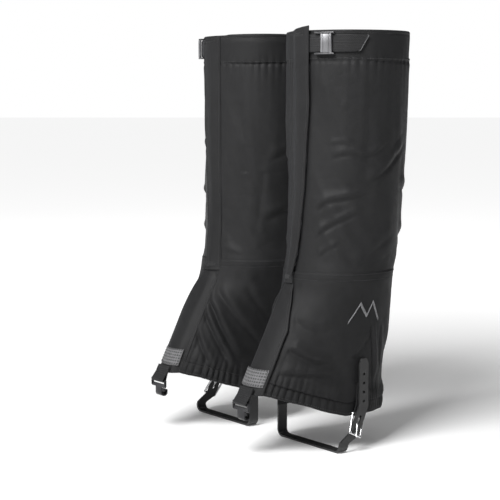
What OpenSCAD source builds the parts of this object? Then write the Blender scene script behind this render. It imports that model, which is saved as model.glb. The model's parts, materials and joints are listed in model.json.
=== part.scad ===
// Pair of calf-high hiking gaiters, modelled as worn: front is -Y, up is +Z,
// the wearer's left gaiter stands at x = 0 and the right one is its mirror image.
// The origin is the middle of the left cuff's round leg opening.

/* [Cuff] */
// Outer radius of the round cuff band round the calf
cuff_r = 68; // [62:0.5:74]
// Height of the cuff band
cuff_h = 32; // [28:1:36]
// Thickness of the doubled cuff fabric
cuff_wall = 3; // [2.6:0.2:3.4]

/* [Fabric tube] */
// Thickness that stands for the coated fabric
wall = 1.5; // [1.2:0.1:1.8]
// Height of the seam between the light upper and the heavy lower panel
seam_z = -248; // [-252:1:-244]
// Height of the hem at the heel
hem_z = -400; // [-402:1:-398]
// How much higher the hem is over the instep than at the heel
hem_rise = 30; // [26:1:32]
// Height of the elastic hem channel
hem_h = 16; // [12:1:20]
// Distance between the axes of the two gaiters
pair_gap = 160; // [150:1:220]

/* [Front flap] */
// Gap between tube and flap that the hook and loop tapes fill
flap_off = 3; // [3:0.1:3.4]
// Thickness of the doubled flap fabric
flap_wall = 1.4; // [1.0:0.1:1.6]
// Height of the flap's top corner above the cuff's centre
flap_top = 21; // [18:1:24]

/* [Cuff strap and cam buckle] */
// Width of the cuff webbing
strap_w = 19; // [17:0.5:19]
// Height of the strap's centre line
strap_z = 2; // [0:0.5:3]
// Angle of the buckle from the front, towards the outer side
buckle_a = 29.5; // [28:0.5:34]
// Radius of the cam lever's pin
pin_r = 0.9; // [0.8:0.05:1]

/* [Instep strap and prong buckle] */
// Width of the strap under the boot
sole_w = 12.4; // [11:0.2:12.6]
// Thickness of the coated strap
sole_t = 2; // [1.6:0.2:2.2]
// Height of the strap's upper face, where the boot's arch rests
sole_z = -436.5; // [-438:0.5:-436]
// Radius of the buckle's wire
wire_r = 1.2; // [1.0:0.1:1.2]
// Length of the buckle frame between its bars
frame_l = 22.4; // [21:0.2:23]

/* [Lace hook] */
// Inner radius of the hook, where a boot lace sits
hook_r = 3; // [2.5:0.1:3.2]
// Width of the hook
hook_w = 12; // [9:0.5:13]

/* [Hidden] */

// The tube's outline by height: [height, half width, reach to the front, reach to the back]
tube = [
  [-404, 49, 149, 36], [-370, 51, 137, 38], [-330, 54, 116, 43], [-290, 57, 94, 45.5],
  [-264, 59, 79, 47.5], [seam_z, 60, 74, 49], [-200, 62, 69.5, 55.5], [-150, 64, 67.5, 60],
  [-72, 66.5, 67.5, 65.5], [-cuff_h / 2, cuff_r, cuff_r, cuff_r], [40, cuff_r, cuff_r, cuff_r]];
function col(k) = [for (s = tube) [s[0], s[k]]];
wid = col(1); fro = col(2); bak = col(3);

// Point on the tube at angle t from the front, height z, a distance o outside it
function on_tube(t, z, o) =
  let (a = lookup(z, wid), m = lookup(z, bak) - a, f = cos(t) > 0 ? lookup(z, fro) + m : a,
       nx = sin(t) / a, ny = -cos(t) / f, l = sqrt(nx * nx + ny * ny))
  [a * sin(t) + o * nx / l, m - f * cos(t) + o * ny / l, z];
// Angle at which the tube's front is x wide of the middle
function at_x(x, z) = asin(x / lookup(z, wid));
function hem(t) = hem_z + hem_rise * max(0, (cos(t) - 0.2) / 0.8);

// Closed sheet through a grid of [angle, height, extra offset], from offset o0 to o1
module sheet(g, o0, o1) {
  n = len(g); m = len(g[0]);
  pts = concat(
    [for (r = g) for (p = r) on_tube(p[0], p[1], o0 + p[2])],
    [for (r = g) for (p = r) on_tube(p[0], p[1], o1 + p[2])]);
  q = n * m;
  faces = concat(
    [for (i = [0:n - 2]) for (j = [0:m - 2]) each [[i*m+j, i*m+j+1, (i+1)*m+j+1], [i*m+j, (i+1)*m+j+1, (i+1)*m+j]]],
    [for (i = [0:n - 2]) for (j = [0:m - 2]) each [[q+i*m+j, q+(i+1)*m+j+1, q+i*m+j+1], [q+i*m+j, q+(i+1)*m+j, q+(i+1)*m+j+1]]],
    [for (i = [0:n - 2]) each [[i*m, (i+1)*m, q+(i+1)*m], [i*m, q+(i+1)*m, q+i*m]]],
    [for (i = [0:n - 2]) each [[i*m+m-1, q+(i+1)*m+m-1, (i+1)*m+m-1], [i*m+m-1, q+i*m+m-1, q+(i+1)*m+m-1]]],
    [for (j = [0:m - 2]) each [[j, q+j, q+j+1], [j, q+j+1, j+1]]],
    [for (j = [0:m - 2]) each [[(n-1)*m+j, (n-1)*m+j+1, q+(n-1)*m+j+1], [(n-1)*m+j, q+(n-1)*m+j+1, q+(n-1)*m+j]]]);
  polyhedron(pts, faces);
}

// Angles round the tube, open at the front under the flap
slit_a = -8; slit_b = -6.4;
round_t = [for (i = [0:58]) slit_b + i * (360 + slit_a - slit_b) / 58];
function ring_rows(zs) = [for (z = zs) [for (t = round_t) [t, z, 0]]];

// The flap's sewn edge and free edge, as x by height
sewn = [[-372, -17], [-250, -16], [-225, -13], [-150, -9], [21, -8.5]];
free = [[-372, 18], [-304, 20], [-276, 12], [-248, 1], [-225, 5], [-160, 11], [-66, 17], [21, 17]];
function flap_grid(z0, z1, n, in0, in1, dip0, dip1) =
  [for (i = [0:n]) let (z = z0 + (z1 - z0) * i / n, a = at_x(lookup(z, sewn) + in0, z), b = at_x(lookup(z, free) - in1, z))
    [for (j = [0:8]) [a + (b - a) * j / 8, z, z > dip1 ? -1.9 : z < dip0 ? 0 : -1.9 * (z - dip0) / (dip1 - dip0)]]];

module sheet_black() { color([0.055, 0.055, 0.06]) children(); }
module metal() { color([0.72, 0.73, 0.75]) children(); }

module cuff_band() sheet_black()
  difference() {
    cylinder(h = cuff_h, r = cuff_r, center = true, $fn = 96);
    cylinder(h = cuff_h + 2, r = cuff_r - cuff_wall, center = true, $fn = 96);
    rotate([0, 0, slit_a - 90 + 0.8]) translate([cuff_r - 8, -0.9, -cuff_h]) cube([16, 1.8, 2 * cuff_h]);
  }
module upper_shell() sheet_black()
  sheet(ring_rows([-cuff_h / 2, -44, -72, -111, -150, -175, -200, -224, seam_z]), -wall, 0);
module lower_shell() sheet_black()
  sheet(concat(ring_rows([seam_z, -264, -277, -290, -310, -330]), [[for (t = round_t) [t, hem(t) + hem_h, 0]]]), -wall, 0);
module hem_channel() sheet_black()
  sheet([for (s = [0, 0.5, 1]) [for (t = round_t) [t, hem(t) + hem_h * (1 - s), 0]]], -wall, 0);
module hem_elastic() color([0.03, 0.03, 0.03])
  sheet([for (s = [0, 1]) [for (t = round_t) [t, hem(t) + 2 + (hem_h - 4) * (1 - s), 0]]], -wall - 1.3, -wall - 0.1);
module loop_tape() color([0.05, 0.05, 0.05]) {
  sheet(flap_grid(-20, -238, 8, 4, 2, 600, 700), 0.3, 1);
  sheet(flap_grid(-270, -362, 6, 4, 2, 600, 700), 0.3, 1);
}
module upper_flap() sheet_black()
  sheet(flap_grid(flap_top, -256, 12, 0, 0, 600, 700), flap_off, flap_off + flap_wall);
module upper_hook_tape() color([0.04, 0.04, 0.04])
  sheet(flap_grid(-20, -238, 8, 4, 2, 600, 700), flap_off - 1.6, flap_off - 0.2);
module lower_flap() sheet_black()
  sheet(flap_grid(-244, -371, 14, 0, 0, -267, -258), flap_off, flap_off + flap_wall);
module lower_hook_tape() color([0.04, 0.04, 0.04])
  sheet(flap_grid(-272, -362, 6, 4, 2, 600, 700), flap_off - 1.6, flap_off - 0.2);
module woven_label() color([0.45, 0.46, 0.47])
  sheet(flap_grid(-345, -363, 4, 2, 2, 600, 700), flap_off + flap_wall + 0.15, flap_off + flap_wall + 0.65);

// Webbing tab at the flap's foot, folded round the lace hook's bar
tab_p = [1, -146.6, -380];
tab_tilt = -27.7;
module toe_tab() sheet_black()
  translate(tab_p) difference() {
    union() {
      rotate([0, 90, 0]) cylinder(h = 24, r = 2.7, center = true, $fn = 48);
      rotate([tab_tilt, 0, 0]) translate([-11.5, -1.2, 2]) cube([23, 2.4, 15]);
    }
    rotate([0, 90, 0]) cylinder(h = 30, r = 1.5, center = true, $fn = 48);
  }
module lace_hook() metal() translate(tab_p) {
  difference() {
    union() {
      rotate([0, 90, 0]) cylinder(h = 28, r = 1.3, center = true, $fn = 32);
      for (s = [-1, 1]) translate([s * 13.2 - 0.8, -1.3, -7.5]) cube([1.6, 2.6, 7.5]);
      translate([-14, -0.7, -8.5]) cube([28, 1.4, 4]);
      translate([-hook_w / 2, -0.7, -15]) cube([hook_w, 1.4, 8]);
      translate([0, hook_r + 0.7, -15]) rotate([0, 90, 0]) cylinder(h = hook_w, r = hook_r + 1.4, center = true, $fn = 64);
      translate([-hook_w / 2, 2 * hook_r + 0.7, -15]) cube([hook_w, 1.4, 3]);
    }
    translate([0, hook_r + 0.7, -15]) rotate([0, 90, 0]) cylinder(h = 40, r = hook_r, center = true, $fn = 64);
    translate([-20, 0.7, -15]) cube([40, 2 * hook_r, 6]);
    translate([-20, 2 * hook_r + 0.7 - 0.01, -12]) cube([40, 3, 6]);
  }
}

strap_r0 = cuff_r + 1.3; strap_r1 = cuff_r + 2.5;
module arc(a0, a1, r0, r1, h)
  rotate([0, 0, a0 - 90]) rotate_extrude(angle = a1 - a0, $fn = 180) translate([r0, -h / 2]) square([r1 - r0, h]);
module cuff_strap() color([0.07, 0.07, 0.075]) translate([0, 0, strap_z])
  difference() {
    arc(2, 69, strap_r0, strap_r1, strap_w);
    rotate([0, 0, 69]) translate([0, -cuff_r - 10, strap_w / 2]) rotate([0, 30, 0]) translate([0, 0, -40]) cube([20, 20, 60]);
  }
module cuff_buckle() color([0.5, 0.5, 0.52]) rotate([0, 0, buckle_a]) translate([0, 0, strap_z])
  difference() {
    union() {
      arc(-8.6, 8.6, cuff_r + 0.1, cuff_r + 0.9, 23.4);
      for (s = [-1, 1]) translate([0, 0, s * 11]) arc(-8.6, 8.6, cuff_r + 0.1, cuff_r + 6, 1.4);
    }
    translate([(cuff_r + 4.4) * sin(5.5), -(cuff_r + 4.4) * cos(5.5), 0]) cylinder(h = 40, r = pin_r, center = true, $fn = 32);
  }
module cuff_lever_pin() metal() rotate([0, 0, buckle_a])
  translate([(cuff_r + 4.4) * sin(5.5), -(cuff_r + 4.4) * cos(5.5), strap_z]) cylinder(h = 23.4, r = pin_r, center = true, $fn = 32);
module cuff_lever() color([0.62, 0.63, 0.65]) rotate([0, 0, buckle_a])
  translate([(cuff_r + 4.4) * sin(5.5), -(cuff_r + 4.4) * cos(5.5), strap_z])
    difference() {
      union() {
        cylinder(h = 19.6, r = 1.75, center = true, $fn = 48);
        translate([-9.4, -0.9, -9.8]) cube([9.4, 1.5, 19.6]);
        translate([-10.8, -1.5, -9.8]) cube([2.2, 1.5, 19.6]);
      }
      cylinder(h = 40, r = pin_r + 0.05, center = true, $fn = 32);
    }
module buckle_anchor() color([0.06, 0.06, 0.065]) translate([0, 0, strap_z])
  arc(buckle_a + 8.6, 54, cuff_r + 0.02, cuff_r + 0.95, strap_w);

// Plain two-peak embroidery low on the outer side
peaks = [[70, -297], [74.5, -287], [79, -277], [82.5, -284], [86, -291], [89, -283.5], [92, -276], [97, -286], [102, -296]];
module peak_emblem() color([0.62, 0.63, 0.64])
  sheet([for (p = peaks) [[p[0] - 0.2, p[1] + 2.2, 0], [p[0] + 0.2, p[1] - 2.2, 0]]], 0.05, 0.7);

// Instep buckle's frame of reference: the middle of its upper bar
bar_p = [52, -25.8, -400.5];
lean = 26;
out = asin(6.1 / frame_l);
strap_x = 54.6;
module bar_frame() translate(bar_p) rotate([-lean, 0, 0]) children();
module rod(l, r) rotate([90, 0, 0]) cylinder(h = l, r = r, center = true, $fn = 32);
module instep_buckle() metal() bar_frame() rotate([0, -out, 0]) {
  rod(16.2, wire_r);
  translate([0, 0, -frame_l]) rod(16.2, wire_r);
  for (s = [-1, 1]) translate([0, s * 8.1, -frame_l]) cylinder(h = frame_l, r = wire_r, $fn = 32);
  for (s = [-1, 1], z = [0, -frame_l]) translate([0, s * 8.1, z]) sphere(r = wire_r, $fn = 32);
}
module instep_prong() metal() bar_frame() rotate([0, -21.7, 0])
  difference() {
    union() {
      rod(3, 2.15);
      translate([0, 0, -24.6]) cylinder(h = 23.1, r = 1, $fn = 32);
      translate([0, 0, -24.6]) sphere(r = 1, $fn = 32);
    }
    rod(10, wire_r + 0.05);
  }
module outer_anchor() color([0.06, 0.06, 0.065])
  difference() {
    union() {
      bar_frame() for (s = [-1, 1]) translate([0, s * 4.15, 0]) rod(4.3, 2.3);
      translate([bar_p[0] - 2.3, bar_p[1], bar_p[2]]) rotate([0, 3.6, 0]) rotate([90, 0, 90])
        linear_extrude(1.1) polygon([[-5.6, 2.7], [-2, 12], [-1.8, 36], [10.6, 36], [10.7, 10], [5.6, -2.7]]);
    }
    bar_frame() rod(40, wire_r + 0.1);
    bar_frame() translate([-6, -2, -6]) cube([12, 4, 10.5]);
  }
module sole_holes() {
  bar_frame() for (z = [-1, -13]) translate([0, 0, z]) rotate([0, 90, 0]) cylinder(h = 20, r = 1.6, $fn = 32);
  bar_frame() translate([0, -1.6, -13]) cube([20, 3.2, 12]);
  for (z = [16, 26, 36, 46]) translate([bar_p[0], bar_p[1] + 4.4, bar_p[2] + z]) rotate([0, 90, 0]) cylinder(h = 20, r = 1.6, $fn = 32);
  for (z = [40, 56]) translate([-60, sole_y, sole_z + z]) rotate([0, 90, 0]) cylinder(h = 20, r = 1.5, $fn = 32);
}
sole_y = bar_p[1] - 23.8;
bend = 6;
inner_x = -51.4;
module instep_strap() color([0.05, 0.05, 0.05]) difference() {
  union() {
    translate([strap_x, bar_p[1], bar_p[2]]) rotate([90, 0, 90]) linear_extrude(sole_t)
      polygon([[-30, sole_z + bend - bar_p[2]], [-29, -26.5], [-15.2, -16.6], [-5.6, 2.7], [-2, 12], [-1.8, 57], [0.5, 63],
        [8.3, 63], [10.6, 57], [10.7, 10], [5.6, -2.7], [-3.8, -22.2], [-16, -28], [-17.6, sole_z + bend - bar_p[2]]]);
    translate([inner_x + bend, sole_y - sole_w / 2, sole_z - sole_t]) cube([strap_x - inner_x - 2 * bend, sole_w, sole_t]);
    translate([strap_x - bend, sole_y, sole_z + bend]) rotate([90, 0, 0]) rotate([0, 0, -90]) rotate_extrude(angle = 90, $fn = 64)
      translate([bend, -sole_w / 2]) square([sole_t, sole_w]);
    translate([inner_x + bend, sole_y, sole_z + bend]) rotate([90, 0, 0]) rotate([0, 0, 180]) rotate_extrude(angle = 90, $fn = 64)
      translate([bend, -sole_w / 2]) square([sole_t, sole_w]);
    translate([inner_x - sole_t, sole_y - sole_w / 2, sole_z + bend]) cube([sole_t, sole_w, 58]);
  }
  sole_holes();
}
module inner_anchor() color([0.06, 0.06, 0.065]) difference() {
  translate([inner_x + 0.02, sole_y - 8, sole_z + 34]) cube([1.3, 16, 34]);
  sole_holes();
}
module strap_rivets() metal()
  for (z = [40, 56]) translate([inner_x, sole_y, sole_z + z]) rotate([0, 90, 0]) {
    translate([0, 0, -sole_t]) cylinder(h = sole_t + 1.32, r = 1.5, $fn = 32);
    translate([0, 0, -sole_t - 1]) cylinder(h = 1, r = 3.2, $fn = 32);
    translate([0, 0, 1.32]) cylinder(h = 0.6, r = 2.6, $fn = 32);
  }

module right() translate([-pair_gap, 0, 0]) mirror([1, 0, 0]) children();

upper_shell();  // left_upper_shell
lower_shell();  // left_lower_shell
cuff_band();  // left_cuff_band
hem_channel();  // left_hem_channel
hem_elastic();  // left_hem_elastic
loop_tape();  // left_loop_tape
upper_flap();  // left_upper_flap
upper_hook_tape();  // left_upper_hook_tape
lower_flap();  // left_lower_flap
lower_hook_tape();  // left_lower_hook_tape
woven_label();  // left_woven_label
toe_tab();  // left_toe_tab
lace_hook();  // left_lace_hook
cuff_strap();  // left_cuff_strap
cuff_buckle();  // left_cuff_buckle
cuff_lever_pin();  // left_cuff_lever_pin
cuff_lever();  // left_cuff_lever
buckle_anchor();  // left_buckle_anchor
peak_emblem();  // left_peak_emblem
instep_strap();  // left_instep_strap
outer_anchor();  // left_outer_anchor
instep_buckle();  // left_instep_buckle
instep_prong();  // left_instep_prong
inner_anchor();  // left_inner_anchor
strap_rivets();  // left_strap_rivets
right() upper_shell();  // right_upper_shell
right() lower_shell();  // right_lower_shell
right() cuff_band();  // right_cuff_band
right() hem_channel();  // right_hem_channel
right() hem_elastic();  // right_hem_elastic
right() loop_tape();  // right_loop_tape
right() upper_flap();  // right_upper_flap
right() upper_hook_tape();  // right_upper_hook_tape
right() lower_flap();  // right_lower_flap
right() lower_hook_tape();  // right_lower_hook_tape
right() woven_label();  // right_woven_label
right() toe_tab();  // right_toe_tab
right() lace_hook();  // right_lace_hook
right() cuff_strap();  // right_cuff_strap
right() cuff_buckle();  // right_cuff_buckle
right() cuff_lever_pin();  // right_cuff_lever_pin
right() cuff_lever();  // right_cuff_lever
right() buckle_anchor();  // right_buckle_anchor
right() peak_emblem();  // right_peak_emblem
right() instep_strap();  // right_instep_strap
right() outer_anchor();  // right_outer_anchor
right() instep_buckle();  // right_instep_buckle
right() instep_prong();  // right_instep_prong
right() inner_anchor();  // right_inner_anchor
right() strap_rivets();  // right_strap_rivets
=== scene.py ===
import json
import math

import bmesh
import bpy
import numpy as np
from mathutils import Vector
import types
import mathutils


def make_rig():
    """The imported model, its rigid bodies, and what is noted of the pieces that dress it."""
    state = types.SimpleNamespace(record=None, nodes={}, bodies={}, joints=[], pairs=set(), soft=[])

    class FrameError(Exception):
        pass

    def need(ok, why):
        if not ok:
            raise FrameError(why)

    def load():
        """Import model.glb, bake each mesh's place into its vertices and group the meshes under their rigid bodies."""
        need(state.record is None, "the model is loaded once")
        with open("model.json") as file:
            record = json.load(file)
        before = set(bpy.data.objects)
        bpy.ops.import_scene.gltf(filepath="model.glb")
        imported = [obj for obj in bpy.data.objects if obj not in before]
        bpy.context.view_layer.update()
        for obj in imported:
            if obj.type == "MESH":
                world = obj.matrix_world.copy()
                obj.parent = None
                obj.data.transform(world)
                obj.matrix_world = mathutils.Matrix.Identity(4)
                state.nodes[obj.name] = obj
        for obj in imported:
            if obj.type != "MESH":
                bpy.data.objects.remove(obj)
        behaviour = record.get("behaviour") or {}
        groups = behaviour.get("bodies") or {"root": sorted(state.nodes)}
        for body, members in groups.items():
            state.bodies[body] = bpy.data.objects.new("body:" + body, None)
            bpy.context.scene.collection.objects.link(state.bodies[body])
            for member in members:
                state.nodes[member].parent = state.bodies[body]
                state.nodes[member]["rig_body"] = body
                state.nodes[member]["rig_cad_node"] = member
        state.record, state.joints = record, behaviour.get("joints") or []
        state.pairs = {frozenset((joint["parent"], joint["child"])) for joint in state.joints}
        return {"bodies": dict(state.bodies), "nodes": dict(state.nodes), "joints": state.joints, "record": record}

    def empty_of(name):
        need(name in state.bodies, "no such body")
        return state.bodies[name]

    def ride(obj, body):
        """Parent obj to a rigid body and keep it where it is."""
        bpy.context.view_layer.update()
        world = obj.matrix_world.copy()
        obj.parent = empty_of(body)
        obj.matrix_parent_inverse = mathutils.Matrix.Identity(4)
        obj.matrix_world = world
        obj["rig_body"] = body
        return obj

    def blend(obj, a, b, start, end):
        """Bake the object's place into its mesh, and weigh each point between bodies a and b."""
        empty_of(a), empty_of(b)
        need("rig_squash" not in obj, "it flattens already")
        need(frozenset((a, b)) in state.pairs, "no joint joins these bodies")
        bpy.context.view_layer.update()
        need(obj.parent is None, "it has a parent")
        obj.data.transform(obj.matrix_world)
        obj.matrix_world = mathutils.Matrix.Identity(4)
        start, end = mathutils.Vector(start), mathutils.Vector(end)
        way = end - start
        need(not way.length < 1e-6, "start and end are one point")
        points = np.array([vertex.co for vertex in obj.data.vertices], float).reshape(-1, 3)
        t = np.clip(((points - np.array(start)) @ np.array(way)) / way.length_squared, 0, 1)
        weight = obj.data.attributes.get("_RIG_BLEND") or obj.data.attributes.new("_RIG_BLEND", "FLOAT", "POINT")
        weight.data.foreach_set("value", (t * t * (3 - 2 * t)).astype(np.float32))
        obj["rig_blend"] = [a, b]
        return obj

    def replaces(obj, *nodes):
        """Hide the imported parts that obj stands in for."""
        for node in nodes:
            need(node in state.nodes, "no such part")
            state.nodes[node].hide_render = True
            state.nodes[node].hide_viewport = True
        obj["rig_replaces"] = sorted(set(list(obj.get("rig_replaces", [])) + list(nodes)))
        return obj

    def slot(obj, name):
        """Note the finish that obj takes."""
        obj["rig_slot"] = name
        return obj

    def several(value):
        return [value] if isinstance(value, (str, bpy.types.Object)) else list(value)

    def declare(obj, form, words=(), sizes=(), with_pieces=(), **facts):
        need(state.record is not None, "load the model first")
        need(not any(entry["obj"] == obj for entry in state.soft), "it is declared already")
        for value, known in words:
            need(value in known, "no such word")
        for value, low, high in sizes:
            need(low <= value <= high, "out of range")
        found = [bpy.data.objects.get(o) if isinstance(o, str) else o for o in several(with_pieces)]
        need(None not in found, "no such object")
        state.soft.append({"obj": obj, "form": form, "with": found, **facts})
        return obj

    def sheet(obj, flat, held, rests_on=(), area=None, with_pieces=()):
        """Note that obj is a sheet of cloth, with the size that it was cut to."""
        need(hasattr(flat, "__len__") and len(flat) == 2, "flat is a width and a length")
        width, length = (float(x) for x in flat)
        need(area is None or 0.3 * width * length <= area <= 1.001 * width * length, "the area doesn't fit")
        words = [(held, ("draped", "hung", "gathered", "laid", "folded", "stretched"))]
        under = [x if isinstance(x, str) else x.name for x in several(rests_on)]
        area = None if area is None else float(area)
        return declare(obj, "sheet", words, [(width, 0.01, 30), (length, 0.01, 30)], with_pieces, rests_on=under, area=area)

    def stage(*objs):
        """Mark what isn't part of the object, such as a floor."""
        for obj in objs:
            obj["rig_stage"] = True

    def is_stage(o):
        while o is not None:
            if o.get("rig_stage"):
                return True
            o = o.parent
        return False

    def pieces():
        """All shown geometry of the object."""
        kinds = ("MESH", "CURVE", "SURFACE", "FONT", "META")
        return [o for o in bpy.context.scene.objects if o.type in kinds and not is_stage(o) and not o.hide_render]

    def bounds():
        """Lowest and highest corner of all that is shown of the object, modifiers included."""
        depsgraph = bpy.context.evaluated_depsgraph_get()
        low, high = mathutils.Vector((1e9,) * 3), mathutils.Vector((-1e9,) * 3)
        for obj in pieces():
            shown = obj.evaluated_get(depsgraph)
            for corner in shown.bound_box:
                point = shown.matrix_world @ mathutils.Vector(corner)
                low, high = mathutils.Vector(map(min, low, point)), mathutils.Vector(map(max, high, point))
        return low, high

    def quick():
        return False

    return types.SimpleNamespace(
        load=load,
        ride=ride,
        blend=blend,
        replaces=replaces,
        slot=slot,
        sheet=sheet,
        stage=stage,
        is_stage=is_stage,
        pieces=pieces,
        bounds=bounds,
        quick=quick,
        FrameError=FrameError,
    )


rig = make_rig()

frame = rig.load()
cad_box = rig.bounds()
scene = bpy.context.scene

# ---------------------------------------------------------------- the tube the fabric follows (mm)
GAP = 160.0
TUBE = np.array([[-404, 49, 149, 36], [-370, 51, 137, 38], [-330, 54, 116, 43], [-290, 57, 94, 45.5],
                 [-264, 59, 79, 47.5], [-248, 60, 74, 49], [-200, 62, 69.5, 55.5], [-150, 64, 67.5, 60],
                 [-72, 66.5, 67.5, 65.5], [-16, 68, 68, 68], [40, 68, 68, 68]], float)
ZS = np.arange(-440, 81, 1.0)


def smoothed(k, sigma=7.0):
    v = np.interp(ZS, TUBE[:, 0], TUBE[:, k])
    lo = TUBE[0, k] + (TUBE[0, k] - TUBE[1, k]) / 34 * 36
    v[ZS < -404] = np.interp(ZS[ZS < -404], [-440, -404], [lo, TUBE[0, k]])
    x = np.arange(-30, 31)
    g = np.exp(-(x / sigma) ** 2 / 2)
    g /= g.sum()
    return np.convolve(np.pad(v, 30, mode="edge"), g, mode="valid")


WID, FRO, BAK = smoothed(1), smoothed(2), smoothed(3)


def base(t, z, o=0.0):
    t, z = np.broadcast_arrays(np.asarray(t, float), np.asarray(z, float))
    a = np.interp(z, ZS, WID)
    m = np.interp(z, ZS, BAK) - a
    s, c = np.sin(np.radians(t)), np.cos(np.radians(t))
    f = np.where(c > 0, np.interp(z, ZS, FRO) + m, a)
    nx, ny = s / a, -c / f
    l = np.hypot(nx, ny)
    n = np.stack([nx / l, ny / l, np.zeros_like(nx)], -1)
    p = np.stack([a * s, m - f * c, z.astype(float)], -1)
    return p + n * np.asarray(o, float)[..., None], n


def at_x(x, z):
    return np.degrees(np.arcsin(np.clip(x / np.interp(z, ZS, WID), -1, 1)))


def hem(t):
    return -400 + 30 * np.maximum(0, (np.cos(np.radians(t)) - 0.2) / 0.8)


def step(x):
    x = np.clip(x, 0, 1)
    return x * x * (3 - 2 * x)


class Field:
    """Smooth noise, periodic round the leg: correlation lengths in degrees and millimetres, leaning by shear degrees per mm."""

    def __init__(self, seed, lt, lz, shear=0.0):
        n = np.random.default_rng(seed).standard_normal((360, 512))
        ft, fz = np.fft.fftfreq(360)[:, None], np.fft.fftfreq(512)[None, :]
        g = np.exp(-2 * (math.pi ** 2) * ((ft * lt) ** 2 + (fz * lz) ** 2))
        self.f = np.real(np.fft.ifft2(np.fft.fft2(n) * g))
        self.f = (self.f - self.f.mean()) / self.f.std()
        self.shear = shear

    def __call__(self, t, z):
        x, y = np.mod(t + self.shear * z, 360), np.mod(z + 460, 512)
        i, j = np.floor(x).astype(int), np.floor(y).astype(int)
        u, v = x - i, y - j
        f, i1, j1 = self.f, (i + 1) % 360, (j + 1) % 512
        i, j = i % 360, j % 512
        return (f[i, j] * (1 - u) * (1 - v) + f[i1, j] * u * (1 - v) + f[i, j1] * (1 - u) * v + f[i1, j1] * u * v)


def crease(n, w=0.22):
    return np.exp(-(n / w) ** 2)


def fold(t, z, pts, w, h, valley=0.8):
    """A ridge along a line of (angle, height) points, with a sharper valley under it."""
    k = 1.15
    p = np.array(pts, float) * (k, 1)
    if len(p) > 2:  # round the polyline's corners
        s = np.linspace(0, len(p) - 1, 3 * len(p))
        q = np.stack([np.interp(s, range(len(p)), p[:, c]) for c in (0, 1)], 1)
        q[1:-1] = (q[:-2] + q[1:-1] * 2 + q[2:]) / 4
        p = q
    x, y = t * k, z
    best, side, along = np.full(np.shape(x), 1e9), np.zeros(np.shape(x)), np.zeros(np.shape(x))
    n = len(p) - 1
    for i in range(n):
        d = p[i + 1] - p[i]
        l2 = (d @ d) + 1e-9
        ex, ey = x - p[i, 0], y - p[i, 1]
        s = np.clip((ex * d[0] + ey * d[1]) / l2, 0, 1)
        rx, ry = ex - s * d[0], ey - s * d[1]
        r = np.hypot(rx, ry)
        up = np.sign(d[0] * ey - d[1] * ex) * (1 if d[0] >= 0 else -1)
        m = r < best
        best, side, along = np.where(m, r, best), np.where(m, up, side), np.where(m, (i + s) / n, along)
    taper = step(np.minimum(along / 0.18, (1 - along) / 0.3)) ** 0.8
    d = best * side
    return h * taper * (np.exp(-(np.abs(d) / w) ** 1.7) - valley * np.exp(-(np.abs(d + 1.25 * w) / (0.5 * w)) ** 1.6))


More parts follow.
